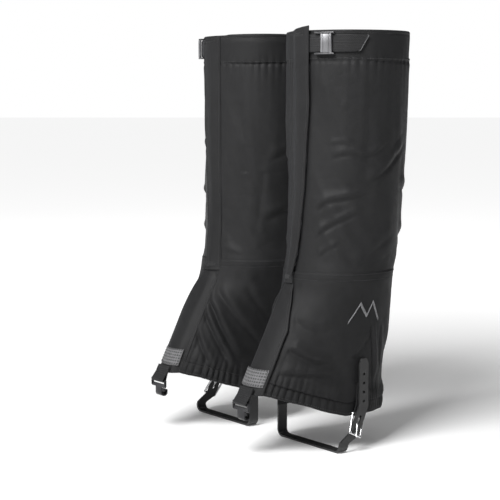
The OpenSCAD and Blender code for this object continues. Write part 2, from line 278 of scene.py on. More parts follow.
# Folds seen in the photograph, as (angle, height) lines on each gaiter, and quieter ones where it doesn't look
FOLDS = {
    "left": [
        ([(20, -174), (26, -166), (37, -161), (52, -159), (90, -149)], 5.0, 1.9, 0.9),
        ([(21, -203), (28, -195), (38, -188), (54, -180), (74, -171)], 4.4, 1.6, 0.9),
        ([(32, -103), (48, -101), (60, -104)], 2.6, 0.8, 0.9),
        ([(33, -116), (52, -111), (74, -115), (94, -98)], 4.0, 1.4, 0.9),
        ([(70, -142), (86, -131), (106, -112), (124, -98)], 6.0, 1.8, 0.8),
        ([(26, -224), (36, -215), (50, -209)], 3.4, 0.9, 0.8),
        ([(62, -232), (86, -208), (112, -192)], 9.0, 1.5, 0.6),
        ([(44, -60), (60, -64), (84, -52)], 7.0, 0.8, 0.5),
        ([(28, -318), (38, -324), (54, -334), (64, -335)], 5.0, 2.2, 1.1),
        ([(26, -344), (46, -347), (72, -349)], 5.0, 1.7, 1.1),
        ([(96, -296), (99, -322), (103, -348), (105, -366)], 4.0, 1.8, 0.8),
        ([(112, -300), (117, -330), (119, -362)], 5.0, 1.2, 0.8),
        ([(22, -286), (42, -298), (62, -296)], 6.0, 1.0, 0.7),
        ([(74, -340), (84, -318), (90, -304)], 4.0, 1.2, 0.8),
        ([(118, -142), (150, -152), (190, -146)], 7.0, 1.6, 0.8),
        ([(128, -192), (168, -207), (220, -200)], 8.0, 1.8, 0.8),
        ([(178, -92), (230, -102), (272, -92)], 7.0, 1.5, 0.8),
        ([(200, -164), (250, -152), (300, -168)], 8.0, 1.6, 0.8),
        ([(238, -214), (290, -203), (332, -216)], 6.0, 1.4, 0.8),
        ([(150, -262), (170, -300), (176, -345)], 7.0, 1.6, 0.7),
        ([(336, -268), (316, -292), (298, -322), (290, -350)], 5.0, 1.8, 0.9),
        ([(326, -280), (304, -310), (284, -340)], 4.5, 1.5, 0.9),
        ([(228, -270), (240, -310), (246, -350)], 6.0, 1.2, 0.8),
        ([(330, -120), (300, -112), (270, -124)], 5.0, 1.1, 0.8),
    ],
    "right": [
        ([(3, -262), (-18, -282), (-35, -300), (-56, -334), (-70, -364)], 4.4, 2.9, 1.0),
        ([(-6, -280), (-16, -292), (-39, -322), (-56, -350), (-64, -370)], 3.8, 2.6, 1.0),
        ([(-9, -302), (-25, -326), (-42, -352), (-50, -370)], 3.4, 2.0, 1.0),
        ([(-24, -270), (-50, -296), (-76, -330), (-88, -356)], 5.0, 1.9, 0.9),
        ([(-58, -268), (-80, -300), (-100, -340)], 6.0, 1.5, 0.8),
        ([(-13, -326), (-16, -344), (-21, -363)], 2.3, 1.8, 1.0),
        ([(-15, -333), (-26, -343)], 1.8, 1.2, 1.0),
        ([(-20, -30), (-27, -110), (-22, -210)], 13.0, 1.3, 0.5),
        ([(-42, -60), (-50, -140), (-44, -225)], 9.0, 1.0, 0.8),
        ([(8, -236), (-20, -228), (-46, -236)], 4.0, 0.9, 0.7),
        ([(-60, -120), (-90, -108), (-120, -122)], 7.0, 1.4, 0.8),
        ([(-58, -190), (-90, -176), (-130, -186)], 8.0, 1.6, 0.8),
        ([(26, -168), (44, -158), (80, -166)], 5.0, 1.6, 0.9),
        ([(24, -110), (52, -102), (90, -112)], 5.0, 1.3, 0.9),
        ([(30, -210), (60, -200), (100, -214)], 6.0, 1.5, 0.8),
        ([(150, -120), (190, -130), (220, -118)], 7.0, 1.5, 0.8),
        ([(130, -205), (175, -192), (215, -208)], 8.0, 1.7, 0.8),
        ([(30, -300), (44, -322), (60, -346)], 5.0, 1.6, 0.9),
        ([(96, -290), (100, -330), (104, -366)], 4.5, 1.5, 0.8),
        ([(140, -270), (160, -310), (165, -350)], 7.0, 1.5, 0.8),
    ],
}
SEEDS = {"left": 11, "right": 47}
sim_field = {}


def window(t, lo, hi, soft=8.0):
    """1 between two angles, fading out beside them."""
    t = np.mod(t + 180, 360) - 180
    return step((t - lo + soft) / soft) * step((hi + soft - t) / soft)


def quiet(t, z):
    """How much of the fabric's movement is left: little under the flap, where the tapes hold it flat."""
    under = window(t, at_x(np.interp(z, [-372, -250, -225, -150, 21], [-19, -18, -15, -11, -10.5]), z),
                   at_x(np.interp(z, [-372, -304, -276, -248, -225, -160, -66, 21], [18, 20, 12, 3, 5, 11, 17, 17]), z), 6)
    return 1 - 0.88 * under


def drape(side, t, z):
    """Outward movement of the fabric, in mm."""
    s = SEEDS[side]
    tt = np.mod(t + 180, 360) - 180
    d = sum(fold(tt if max(p[0] for p in pts) < 180 and min(p[0] for p in pts) > -180 and min(p[0] for p in pts) < 140 else np.mod(t, 360),
                 z, pts, w, h * 1.2, v) for pts, w, h, v in FOLDS[side])
    d = d + 0.9 * F[side][0](t, z) + 0.12 * F[side][1](t, z)
    d = d - 0.22 * crease(F[side][2](t, z)) * step(F[side][4](t, z) * 0.8 + 0.4)
    d = d - 0.15 * crease(F[side][3](t, z), 0.18) * step(F[side][0](t, z) * 0.6 + 0.4)
    if side in sim_field:
        d = d + sim_field[side](t, z)
    # held by the cuff seam, the mid seam and the hem
    hold = step((-16 - z) / 30) * (0.45 + 0.55 * step(np.abs(z + 248) / 22))
    d = d * hold * quiet(t, z)
    # gathers hanging from the cuff seam
    ph = t / 360 * 2 * math.pi * 46 + 1.6 * F[side][5](t, z * 0 - 30)
    amp = 0.35 + 0.5 * step(0.5 + 0.6 * F[side][6](t, z * 0 - 60))
    d = d + amp * 1.9 * (np.abs(np.sin(ph / 2)) ** 0.8 - 0.6) * np.exp(-np.abs(z + 17) / 10.0) * quiet(t, z) * (z < 4)
    return d


def patches_flat(t, z, d):
    """The strap ends, and the label side, press the fabric flat."""
    tt = np.mod(t + 180, 360) - 180
    out = step((tt - 68) / 8) * step((122 - tt) / 8) * step((-352 - z) / 10)
    inn = step((tt + 112) / 8) * step((-66 - tt) / 8) * step((-358 - z) / 10)
    cap = np.minimum(d, 0.15)
    k = np.maximum(out, inn)
    return d * (1 - k) + cap * k


def gathers(side, t, z):
    """Pleats that the elastic in the hem pulls up."""
    top = hem(t) + 16
    s = np.mod(t, 360)
    ph = s / 360 * 2 * math.pi * 76 + 2.2 * F[side][5](t, z * 0 - 200)
    a = 0.55 + 0.6 * step(0.5 + 0.5 * F[side][6](t, z * 0 - 250))
    small = np.abs(np.sin(ph / 2)) ** 0.75 - 0.62
    ph2 = s / 360 * 2 * math.pi * 31 + 2.6 * F[side][7](t, z * 0 - 220)
    big = np.abs(np.sin(ph2 / 2)) ** 0.7 - 0.62
    up = np.clip(z - top, 0, None)
    down = np.clip(top - z, 0, 16) / 16
    channel = 1 - 0.35 * np.cos(down * 2 * math.pi)
    prof = np.where(z > top, np.exp(-up / 7.0), channel)
    prof2 = np.where(z > top, np.exp(-up / 17.0), 1.0)
    quietness = 0.25 + 0.75 * quiet(t, z)
    return (2.7 * a * small * prof + 1.9 * a * big * prof2 * (1 - 0.5 * (down > 0))) * quietness


F = {s: [Field(k, 26, 34, 0.10), Field(k + 1, 7, 9, -0.1), Field(k + 2, 22, 9, 0.12), Field(k + 3, 12, 6, -0.22),
         Field(k + 4, 30, 40), Field(k + 5, 6, 40), Field(k + 6, 10, 40), Field(k + 7, 12, 40)] for s, k in SEEDS.items()}


# ---------------------------------------------------------------- cloth simulation of the whole tube, coarse
def simulate(side):
    """Lets the fabric buckle: the tube is cut a little too long and wide for the leg it hangs on, pinned at the cuff, the flap and the hem, and falls onto a leg form."""
    nt, srow = 132, np.linspace(0, 1, 78)
    t = np.linspace(-180, 180, nt, endpoint=False)
    T, S = np.meshgrid(t, srow)
    Z = -14 + S * (hem(T) + 8 + 14)  # evenly down to the hem: two rows at one height make zero-length springs, and the solver fails without saying so
    seed_d = drape(side, T, Z)
    p0, n0 = base(T, Z, np.clip(seed_d, -2.2, 4))
    verts = p0.reshape(-1, 3) * 0.001
    m = len(t)
    faces = [(i * m + j, (i + 1) * m + j, (i + 1) * m + (j + 1) % m, i * m + (j + 1) % m)
             for i in range(len(srow) - 1) for j in range(m)]
    me = bpy.data.meshes.new("sim_" + side)
    me.from_pydata(verts.tolist(), [], faces)
    ob = bpy.data.objects.new("sim_" + side, me)
    scene.collection.objects.link(ob)
    g = ob.vertex_groups.new(name="pin")
    tt = T.ravel()
    w = np.zeros(len(tt))
    w[Z.ravel() > -20] = 1
    w[(Z.ravel() < hem(tt) + 20)] = 1
    w[(tt > -14) & (tt < 18)] = 1
    w[np.abs(Z.ravel() + 248) < 3] = 0.35
    for k in np.unique(w):
        if k > 0:
            g.add([int(i) for i in np.nonzero(w == k)[0]], float(k), "REPLACE")
    pf, _ = base(T, Z, -5.5)
    lf = bpy.data.meshes.new("form_" + side)
    lf.from_pydata((pf.reshape(-1, 3) * 0.001).tolist(), [], faces)
    form = bpy.data.objects.new("form_" + side, lf)
    scene.collection.objects.link(form)
    col = form.modifiers.new("Collision", "COLLISION")
    form.collision.thickness_outer = 0.0008
    c = ob.modifiers.new("Cloth", "CLOTH")
    c.settings.quality = 5
    c.settings.mass = 0.15
    c.settings.tension_stiffness = 12
    c.settings.compression_stiffness = 12
    c.settings.shear_stiffness = 4
    c.settings.bending_stiffness = 0.15
    c.settings.air_damping = 3
    c.settings.vertex_group_mass = "pin"
    c.settings.pin_stiffness = 1
    c.settings.shrink_min = -0.03
    c.settings.shrink_max = -0.03
    c.collision_settings.use_collision = True
    c.collision_settings.distance_min = 0.001
    c.collision_settings.use_self_collision = False
    c.point_cache.frame_start, c.point_cache.frame_end = 1, 24
    for f in range(1, 23):
        scene.frame_set(f)
    e = ob.evaluated_get(bpy.context.evaluated_depsgraph_get())
    co = np.zeros(len(verts) * 3, np.float32)
    e.data.vertices.foreach_get("co", co)
    scene.frame_set(1)
    bpy.data.objects.remove(ob)
    bpy.data.objects.remove(form)
    moved = (co.reshape(p0.shape) * 1000 - p0)
    d = (moved * n0).sum(-1)
    for ax in (0, 1, 0, 1):  # take out what is finer than the coarse cloth can show
        a1 = np.roll(d, 1, ax) if ax else np.concatenate([d[:1], d[:-1]])
        a2 = np.roll(d, -1, ax) if ax else np.concatenate([d[1:], d[-1:]])
        d = 0.5 * d + 0.25 * (a1 + a2)
    print("sim", side, "raw mm", float(d.min()), float(d.max()), float(d.std()))
    d = 3.2 * np.tanh(d / 3.2)  # the cap on how far the cloth may move
    print("sim", side, "moved mm", float(d.min()), float(d.max()), float(d.std()))
    assert np.isfinite(d).all() and d.std() > 0.01, "the cloth did not move"

    def at(tq, zq):
        tq, zq = np.broadcast_arrays(np.asarray(tq, float), np.asarray(zq, float))
        x = np.mod(tq + 180, 360) / 360 * nt
        y = np.clip((-14 - zq) / (-14 - (hem(tq) + 8)) * (len(srow) - 1), 0, len(srow) - 1.001)
        i, j = np.floor(y).astype(int), np.floor(x).astype(int)
        v, u = y - i, x - j
        u, v = step(u) * 0.5 + u * 0.5, step(v) * 0.5 + v * 0.5
        j0, j1 = j % nt, (j + 1) % nt
        return (d[i, j0] * (1 - v) * (1 - u) + d[i, j1] * (1 - v) * u + d[i + 1, j0] * v * (1 - u) + d[i + 1, j1] * v * u)

    return at


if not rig.quick():
    for s in ("left", "right"):
        sim_field[s] = simulate(s)


# ---------------------------------------------------------------- materials
def nodes_of(name):
    m = bpy.data.materials.new(name)
    m.use_nodes = True
    nt = m.node_tree
    b = nt.nodes["Principled BSDF"]
    return m, nt, b


def noise(nt, scale, detail=3.0, rough=0.55, coord=None):
    n = nt.nodes.new("ShaderNodeTexNoise")
    n.inputs["Scale"].default_value = scale
    n.inputs["Detail"].default_value = detail
    n.inputs["Roughness"].default_value = rough
    if coord is not None:
        nt.links.new(coord, n.inputs["Vector"])
    return n.outputs["Fac"]


def math_node(nt, op, a, b=None):
    n = nt.nodes.new("ShaderNodeMath")
    n.operation = op
    for i, v in enumerate((a, b)):
        if v is None:
            continue
        if isinstance(v, (int, float)):
            n.inputs[i].default_value = v
        else:
            nt.links.new(v, n.inputs[i])
    return n.outputs[0]


def ramp(nt, fac, stops):
    r = nt.nodes.new("ShaderNodeValToRGB")
    r.color_ramp.elements[0].position, r.color_ramp.elements[0].color = stops[0][0], (*stops[0][1], 1)
    r.color_ramp.elements[1].position, r.color_ramp.elements[1].color = stops[-1][0], (*stops[-1][1], 1)
    for pos, c in stops[1:-1]:
        e = r.color_ramp.elements.new(pos)
        e.color = (*c, 1)
    nt.links.new(fac, r.inputs[0])
    return r.outputs[0]


def to_range(nt, fac, lo, hi):
    n = nt.nodes.new("ShaderNodeMapRange")
    n.inputs["From Min"].default_value = 0.3
    n.inputs["From Max"].default_value = 0.7
    n.inputs["To Min"].default_value = lo
    n.inputs["To Max"].default_value = hi
    nt.links.new(fac, n.inputs["Value"])
    return n.outputs[0]


def grey(v, tint=(1.0, 1.0, 1.03)):
    return tuple(v * k for k in tint)


def cloth_material(name, dark, light, pitch, rough=(0.5, 0.62), spec=0.35, sheen=0.12, weave=0.5, kind="plain", fuzz=0.0):
    """Woven cloth: threads from the piece's own millimetre coordinates, uneven dye and slight soiling from noise."""
    m, nt, b = nodes_of(name)
    at = nt.nodes.new("ShaderNodeAttribute")
    at.attribute_type = "GEOMETRY"
    at.attribute_name = "cl"
    sep = nt.nodes.new("ShaderNodeSeparateXYZ")
    nt.links.new(at.outputs["Vector"], sep.inputs[0])
    u, v = sep.outputs[0], sep.outputs[1]
    k = 2 * math.pi / pitch
    if kind == "plain":
        h = math_node(nt, "MULTIPLY", math_node(nt, "SINE", math_node(nt, "MULTIPLY", u, k)),
                      math_node(nt, "SINE", math_node(nt, "MULTIPLY", v, k)))
    elif kind == "rib":  # webbing: ribs along v, with a twill across them
        a = math_node(nt, "ABSOLUTE", math_node(nt, "SINE", math_node(nt, "MULTIPLY", u, k / 2)))
        c = math_node(nt, "SINE", math_node(nt, "MULTIPLY", math_node(nt, "ADD", u, v), k * 0.9))
        h = math_node(nt, "ADD", a, math_node(nt, "MULTIPLY", c, 0.55))
    else:  # pile or hooks
        vor = nt.nodes.new("ShaderNodeTexVoronoi")
        vor.inputs["Scale"].default_value = 1.0 / pitch
        nt.links.new(at.outputs["Vector"], vor.inputs["Vector"])
        h = vor.outputs["Distance"]
    tc = nt.nodes.new("ShaderNodeTexCoord")
    fine = noise(nt, 900, 2.0, 0.6, tc.outputs["Object"])
    broad = noise(nt, 14, 4.0, 0.6, tc.outputs["Object"])
    mid = noise(nt, 120, 3.0, 0.6, tc.outputs["Object"])
    height = math_node(nt, "ADD", h, math_node(nt, "MULTIPLY", fine, 0.5 + fuzz * 3))
    bump = nt.nodes.new("ShaderNodeBump")
    bump.inputs["Strength"].default_value = weave
    bump.inputs["Distance"].default_value = 0.00009 if kind == "plain" else 0.0002
    nt.links.new(height, bump.inputs["Height"])
    nt.links.new(bump.outputs[0], b.inputs["Normal"])
    tone = math_node(nt, "ADD", math_node(nt, "MULTIPLY", broad, 0.55), math_node(nt, "MULTIPLY", mid, 0.3))
    tone = math_node(nt, "ADD", tone, math_node(nt, "MULTIPLY", h, 0.10))
    nt.links.new(ramp(nt, tone, [(0.22, dark), (0.66, light)]), b.inputs["Base Color"])
    nt.links.new(to_range(nt, mid, *rough), b.inputs["Roughness"])
    b.inputs["Specular IOR Level"].default_value = spec
    b.inputs["Sheen Weight"].default_value = sheen
    b.inputs["Sheen Roughness"].default_value = 0.5
    b.inputs["Sheen Tint"].default_value = (0.75, 0.78, 0.85, 1)
    return m


def metal_material(name, dark, light, rough, brushed=(1, 1, 1), metallic=1.0):
    m, nt, b = nodes_of(name)
    tc = nt.nodes.new("ShaderNodeTexCoord")
    mp = nt.nodes.new("ShaderNodeMapping")
    mp.inputs["Scale"].default_value = brushed
    nt.links.new(tc.outputs["Object"], mp.inputs["Vector"])
    grain = noise(nt, 260, 4.0, 0.65, mp.outputs[0])
    broad = noise(nt, 55, 3.0, 0.6, tc.outputs["Object"])
    geo = nt.nodes.new("ShaderNodeNewGeometry")
    wear = ramp(nt, geo.outputs["Pointiness"], [(0.49, (0, 0, 0)), (0.56, (1, 1, 1))])
    sepw = nt.nodes.new("ShaderNodeSeparateColor")
    nt.links.new(wear, sepw.inputs[0])
    tone = math_node(nt, "ADD", math_node(nt, "MULTIPLY", grain, 0.35), math_node(nt, "MULTIPLY", broad, 0.35))
    tone = math_node(nt, "ADD", tone, math_node(nt, "MULTIPLY", sepw.outputs[0], 0.35))
    nt.links.new(ramp(nt, tone, [(0.2, dark), (0.75, light)]), b.inputs["Base Color"])
    nt.links.new(to_range(nt, grain, *rough), b.inputs["Roughness"])
    bump = nt.nodes.new("ShaderNodeBump")
    bump.inputs["Strength"].default_value = 0.25
    bump.inputs["Distance"].default_value = 0.00006
    nt.links.new(grain, bump.inputs["Height"])
    nt.links.new(bump.outputs[0], b.inputs["Normal"])
    b.inputs["Metallic"].default_value = metallic
    return m


M = {
    "upper": cloth_material("upper_nylon", grey(0.012), grey(0.0195), 0.8, (0.44, 0.54), 0.12, 0.02, 0.35),
    "lower": cloth_material("lower_packcloth", grey(0.0105), grey(0.018), 1.15, (0.48, 0.58), 0.12, 0.02, 0.5),
    "flap": cloth_material("flap_nylon", grey(0.0115), grey(0.0185), 0.9, (0.46, 0.56), 0.12, 0.03, 0.4),
    "cuff": cloth_material("cuff_nylon", grey(0.0105), grey(0.0175), 0.9, (0.46, 0.56), 0.12, 0.03, 0.4),
    "web": cloth_material("black_webbing", grey(0.009), grey(0.019), 1.9, (0.5, 0.62), 0.16, 0.05, 0.8, "rib"),
    "web_cut": cloth_material("webbing_cut_end", grey(0.05), grey(0.10), 0.9, (0.4, 0.6), 0.4, 0.2, 0.6, "rib"),
    "elastic": cloth_material("elastic_band", grey(0.012), grey(0.02), 1.4, (0.6, 0.75), 0.3, 0.2, 0.9, "rib"),
    "hook": cloth_material("hook_tape", grey(0.012), grey(0.022), 1.3, (0.45, 0.6), 0.4, 0.1, 1.0, "dots"),
    "loop": cloth_material("loop_tape", grey(0.012), grey(0.022), 0.7, (0.75, 0.9), 0.2, 0.6, 1.0, "dots", 0.5),
    "thread": cloth_material("black_thread", grey(0.012), grey(0.028), 0.35, (0.4, 0.55), 0.35, 0.04, 0.5, "rib"),
    "embroidery": cloth_material("grey_embroidery", grey(0.17), grey(0.30), 0.55, (0.4, 0.55), 0.4, 0.1, 1.0, "rib"),
    "steel": metal_material("wire_steel", (0.50, 0.50, 0.51), (0.78, 0.78, 0.79), (0.16, 0.3)),
    "alloy": metal_material("buckle_alloy", (0.06, 0.06, 0.063), (0.2, 0.2, 0.205), (0.3, 0.44), (1, 1, 0.12)),
    "lever": metal_material("lever_satin", (0.16, 0.16, 0.165), (0.28, 0.28, 0.29), (0.34, 0.48), (1, 1, 0.08)),
    "black_steel": metal_material("blackened_steel", (0.014, 0.014, 0.015), (0.05, 0.05, 0.053), (0.32, 0.45)),
}


def label_material():
    """Light woven label: warp threads, and rows of short plain bars instead of any wording."""
    m, nt, b = nodes_of("woven_label")
    at = nt.nodes.new("ShaderNodeAttribute")
    at.attribute_type = "GEOMETRY"
    at.attribute_name = "cl"
    sep = nt.nodes.new("ShaderNodeSeparateXYZ")
    nt.links.new(at.outputs["Vector"], sep.inputs[0])
    u, v = sep.outputs[0], sep.outputs[1]
    rows = math_node(nt, "GREATER_THAN", math_node(nt, "SINE", math_node(nt, "MULTIPLY", v, 2 * math.pi / 3.4)), -0.1)
    bars = math_node(nt, "GREATER_THAN", math_node(nt, "SINE", math_node(nt, "MULTIPLY", u, 2 * math.pi / 3.1)), -0.45)
    pat = math_node(nt, "MULTIPLY", rows, bars)
    thread = math_node(nt, "SINE", math_node(nt, "MULTIPLY", v, 2 * math.pi / 0.5))
    tc = nt.nodes.new("ShaderNodeTexCoord")
    mid = noise(nt, 300, 3.0, 0.6, tc.outputs["Object"])
    tone = math_node(nt, "ADD", math_node(nt, "MULTIPLY", pat, 0.45), math_node(nt, "MULTIPLY", mid, 0.5))
    tone = math_node(nt, "ADD", tone, math_node(nt, "MULTIPLY", thread, 0.05))
    nt.links.new(ramp(nt, tone, [(0.15, grey(0.16)), (0.42, grey(0.10)), (0.75, grey(0.02))]), b.inputs["Base Color"])
    bump = nt.nodes.new("ShaderNodeBump")
    bump.inputs["Strength"].default_value = 0.6
    bump.inputs["Distance"].default_value = 0.00012
    nt.links.new(math_node(nt, "ADD", pat, thread), bump.inputs["Height"])
    nt.links.new(bump.outputs[0], b.inputs["Normal"])
    nt.links.new(to_range(nt, mid, 0.5, 0.65), b.inputs["Roughness"])
    return m


def rubber_material():
    """Coated strap: fine pebbled grain, paler where it has been bent and rubbed."""
    m, nt, b = nodes_of("coated_strap")
    tc = nt.nodes.new("ShaderNodeTexCoord")
    grain = noise(nt, 1500, 2.0, 0.5, tc.outputs["Object"])
    broad = noise(nt, 70, 4.0, 0.65, tc.outputs["Object"])
    geo = nt.nodes.new("ShaderNodeNewGeometry")
    wear = ramp(nt, geo.outputs["Pointiness"], [(0.5, (0, 0, 0)), (0.6, (1, 1, 1))])
    sepw = nt.nodes.new("ShaderNodeSeparateColor")
    nt.links.new(wear, sepw.inputs[0])
    tone = math_node(nt, "ADD", math_node(nt, "MULTIPLY", broad, 0.6), math_node(nt, "MULTIPLY", sepw.outputs[0], 0.5))
    nt.links.new(ramp(nt, tone, [(0.2, grey(0.011)), (0.6, grey(0.024)), (0.9, grey(0.07))]), b.inputs["Base Color"])
    bump = nt.nodes.new("ShaderNodeBump")
    bump.inputs["Strength"].default_value = 0.5
    bump.inputs["Distance"].default_value = 0.0001
    nt.links.new(grain, bump.inputs["Height"])
    nt.links.new(bump.outputs[0], b.inputs["Normal"])
    nt.links.new(to_range(nt, broad, 0.38, 0.52), b.inputs["Roughness"])
    b.inputs["Specular IOR Level"].default_value = 0.5
    return m


M["label"] = label_material()
M["rubber"] = rubber_material()


# ---------------------------------------------------------------- mesh building
def make(name, verts, faces, side, material, cl=None, smooth=True):
    v = np.array(verts, float)
    if side == "right":
        v = v.copy()
        v[:, 0] = -GAP - v[:, 0]
        faces = [tuple(f[::-1]) for f in faces]
    me = bpy.data.meshes.new(name)
    me.from_pydata((v * 0.001).tolist(), [], [tuple(int(i) for i in f) for f in faces])
    me.validate()
    if cl is not None:
        a = me.attributes.new("cl", "FLOAT_VECTOR", "POINT")
        c = np.zeros((len(v), 3), np.float32)
        c[:, :2] = np.array(cl, float)[:, :2]
        a.data.foreach_set("vector", c.ravel())
    me.polygons.foreach_set("use_smooth", np.full(len(me.polygons), smooth))
    me.materials.append(material)
    ob = bpy.data.objects.new(name, me)
    scene.collection.objects.link(ob)
    return ob


def closed(outer, inner, wrap=False):
    """Vertices and faces of a sheet between two grids; rows go down and columns go round, so that outer faces outwards."""
    n, m = outer.shape[:2]
    q = n * m
    idx = np.arange(q).reshape(n, m)
    cols = m if wrap else m - 1
    j = np.arange(cols)
    a, b = idx[:-1][:, j], idx[:-1][:, (j + 1) % m]
    c, d = idx[1:][:, j], idx[1:][:, (j + 1) % m]
    f = np.stack([a, c, d, b], -1).reshape(-1, 4)
    faces = [f, f[:, ::-1] + q]
    for row, flip in ((0, False), (n - 1, True)):
        e0, e1 = idx[row, j], idx[row, (j + 1) % m]
        s = np.stack([e0, e1, e1 + q, e0 + q], -1)
        faces.append(s[:, ::-1] if flip else s)
    if not wrap:
        for colm, flip in ((0, True), (m - 1, False)):
            e0, e1 = idx[:-1, colm], idx[1:, colm]
            s = np.stack([e0, e1, e1 + q, e0 + q], -1)
            faces.append(s[:, ::-1] if flip else s)
    return np.concatenate([outer.reshape(-1, 3), inner.reshape(-1, 3)]), np.concatenate(faces)


def lengths(P):
    """Millimetre coordinates on a grid, along its columns and rows, measured on the cloth itself."""
    du = np.linalg.norm(np.diff(P, axis=1), axis=2)
    dv = np.linalg.norm(np.diff(P, axis=0), axis=2)
    u = np.concatenate([np.zeros((P.shape[0], 1)), np.cumsum(du, 1)], 1)
    u = u - u[:, [P.shape[1] // 2]]
    v = np.concatenate([np.zeros((1, P.shape[1])), np.cumsum(dv, 0)], 0)
    return np.stack([u, v], -1).reshape(-1, 2)


def normals(P):
    du = np.gradient(P, axis=1)
    dv = np.gradient(P, axis=0)
    n = np.cross(dv, du)
    return n / np.maximum(np.linalg.norm(n, axis=-1, keepdims=True), 1e-9)


class Patch:
    """A sheet on a grid. Columns and rows run 0 to 1; at() gives a point on its outer face."""

    def __init__(self, P, thick):
        self.P, self.N = P, normals(P)
        self.inner = P - self.N * (np.asarray(thick, float)[..., None] if np.ndim(thick) else thick)

    def at(self, x, y, o=0.0):
        n, m = self.P.shape[:2]
        x, y = np.clip(np.asarray(x, float), 0, 1) * (m - 1), np.clip(np.asarray(y, float), 0, 1) * (n - 1)
        j, i = np.minimum(x.astype(int), m - 2), np.minimum(y.astype(int), n - 2)
        u, v = (x - j)[..., None], (y - i)[..., None]
        out = []
        for g in (self.P, self.N):
            out.append(g[i, j] * (1 - u) * (1 - v) + g[i, j + 1] * u * (1 - v) + g[i + 1, j] * (1 - u) * v + g[i + 1, j + 1] * u * v)
        nn = out[1] / np.linalg.norm(out[1], axis=-1, keepdims=True)
        return out[0] + nn * np.asarray(o)[..., None] if np.ndim(o) else out[0] + nn * o, nn

    def build(self, name, side, material, wrap=False):
        v, f = closed(self.P, self.inner, wrap)
        return make(name, v, f, side, material, np.concatenate([lengths(self.P)] * 2))


RING_X = np.array([-1.0, -0.72, -0.3, 0.3, 0.72, 1.0])
RING_R = np.array([0.45, 0.85, 1.0, 1.0, 0.85, 0.45])
RING_H = np.array([-1.1, -0.05, 0.35, 0.35, -0.05, -1.1])


def stitches(lines, pitch=3.0, length=2.4, r=0.27):
    """Threads laid along lines of (points, normals): one raised stitch per pitch."""
    vs, fs, cs, count = [], [], [], 0
    for pts, nrm in lines:
        seg = np.linalg.norm(np.diff(pts, axis=0), axis=1)
        s = np.concatenate([[0], np.cumsum(seg)])
        k = max(1, int(s[-1] / pitch))
        mid = (np.arange(k) + 0.5) * s[-1] / k

        def sample(at, g):
            return np.stack([np.interp(at, s, g[:, c]) for c in range(3)], 1)

        c0 = sample(mid, pts)
        a, b = sample(np.clip(mid - length / 2, 0, s[-1]), pts), sample(np.clip(mid + length / 2, 0, s[-1]), pts)
        d = b - a
        half = np.linalg.norm(d, axis=1, keepdims=True) / 2
        d = d / np.maximum(half * 2, 1e-6)
        n = sample(mid, nrm)
        n = n - (n * d).sum(1, keepdims=True) * d
        n /= np.linalg.norm(n, axis=1, keepdims=True)
        w = np.cross(d, n)
        ang = np.arange(6) * math.pi / 3
        for x, rr, h in zip(RING_X, RING_R, RING_H):
            for q in ang:
                vs.append(c0 + d * half * x + n * (r * (h + 0.15) + r * rr * math.sin(q)) + w * r * rr * math.cos(q))
                cs.append(np.stack([np.full(k, q * r * 3), half[:, 0] * x + mid], 1))
        base_i = count + np.arange(k)
        nv = 36

        def vid(ring, q):
            return (ring, q % 6)

        fs.append((k, count))
        count += k
    # order: the lists above hold 36 arrays per line; gather them stitch by stitch
    verts, cl = [], []
    pos = 0
    for k, c in fs:
        block = np.stack(vs[pos:pos + 36], 1)  # k, 36, 3
        verts.append(block.reshape(-1, 3))
        cl.append(np.stack(cs[pos:pos + 36], 1).reshape(-1, 2))
        pos += 36
    verts, cl = np.concatenate(verts), np.concatenate(cl)
    quad = [(ring * 6 + q, ring * 6 + (q + 1) % 6, (ring + 1) * 6 + (q + 1) % 6, (ring + 1) * 6 + q)
            for ring in range(5) for q in range(6)]
    quad = np.array(quad)
    total = count
    faces = (quad[None] + (np.arange(total) * 36)[:, None, None]).reshape(-1, 4)
    caps = np.array([[5, 4, 3, 2, 1, 0], [30, 31, 32, 33, 34, 35]])
    capf = (caps[None] + (np.arange(total) * 36)[:, None, None]).reshape(-1, 6)
    return verts, [tuple(f) for f in faces] + [tuple(f) for f in capf], cl


def strip(center, across, normal, half_w, thick, n_w=14, crown=0.15, rim=0.35):
    """Flat webbing along a path: centre points, width direction, face normal. Its edges are rounded and its face is slightly crowned."""
    k = len(center)
    w = np.linspace(-1, 1, n_w)
    e = 1 - np.clip((np.abs(w) - (1 - rim / 3)) / (rim / 3), 0, 1) ** 2 * 0.55
    hw = np.broadcast_to(np.asarray(half_w, float), (k,))
    out = center[:, None] + across[:, None] * (w[None, :, None] * hw[:, None, None]) + normal[:, None] * ((thick / 2) * e + crown * (1 - w ** 2))[None, :, None]
    inn = center[:, None] + across[:, None] * (w[None, :, None] * hw[:, None, None]) - normal[:, None] * ((thick / 2) * e)[None, :, None]
    return out, inn


def loft(name, out, inn, side, material):
    """A closed strip from its two faces; winding is put right afterwards."""
    v, f = closed(out, inn)
    ob = make(name, v, f, side, material, np.concatenate([lengths(out)] * 2))
    bm = bmesh.new()
    bm.from_mesh(ob.data)
    bmesh.ops.recalc_face_normals(bm, faces=bm.faces)
    bm.to_mesh(ob.data)
    bm.free()
    return ob


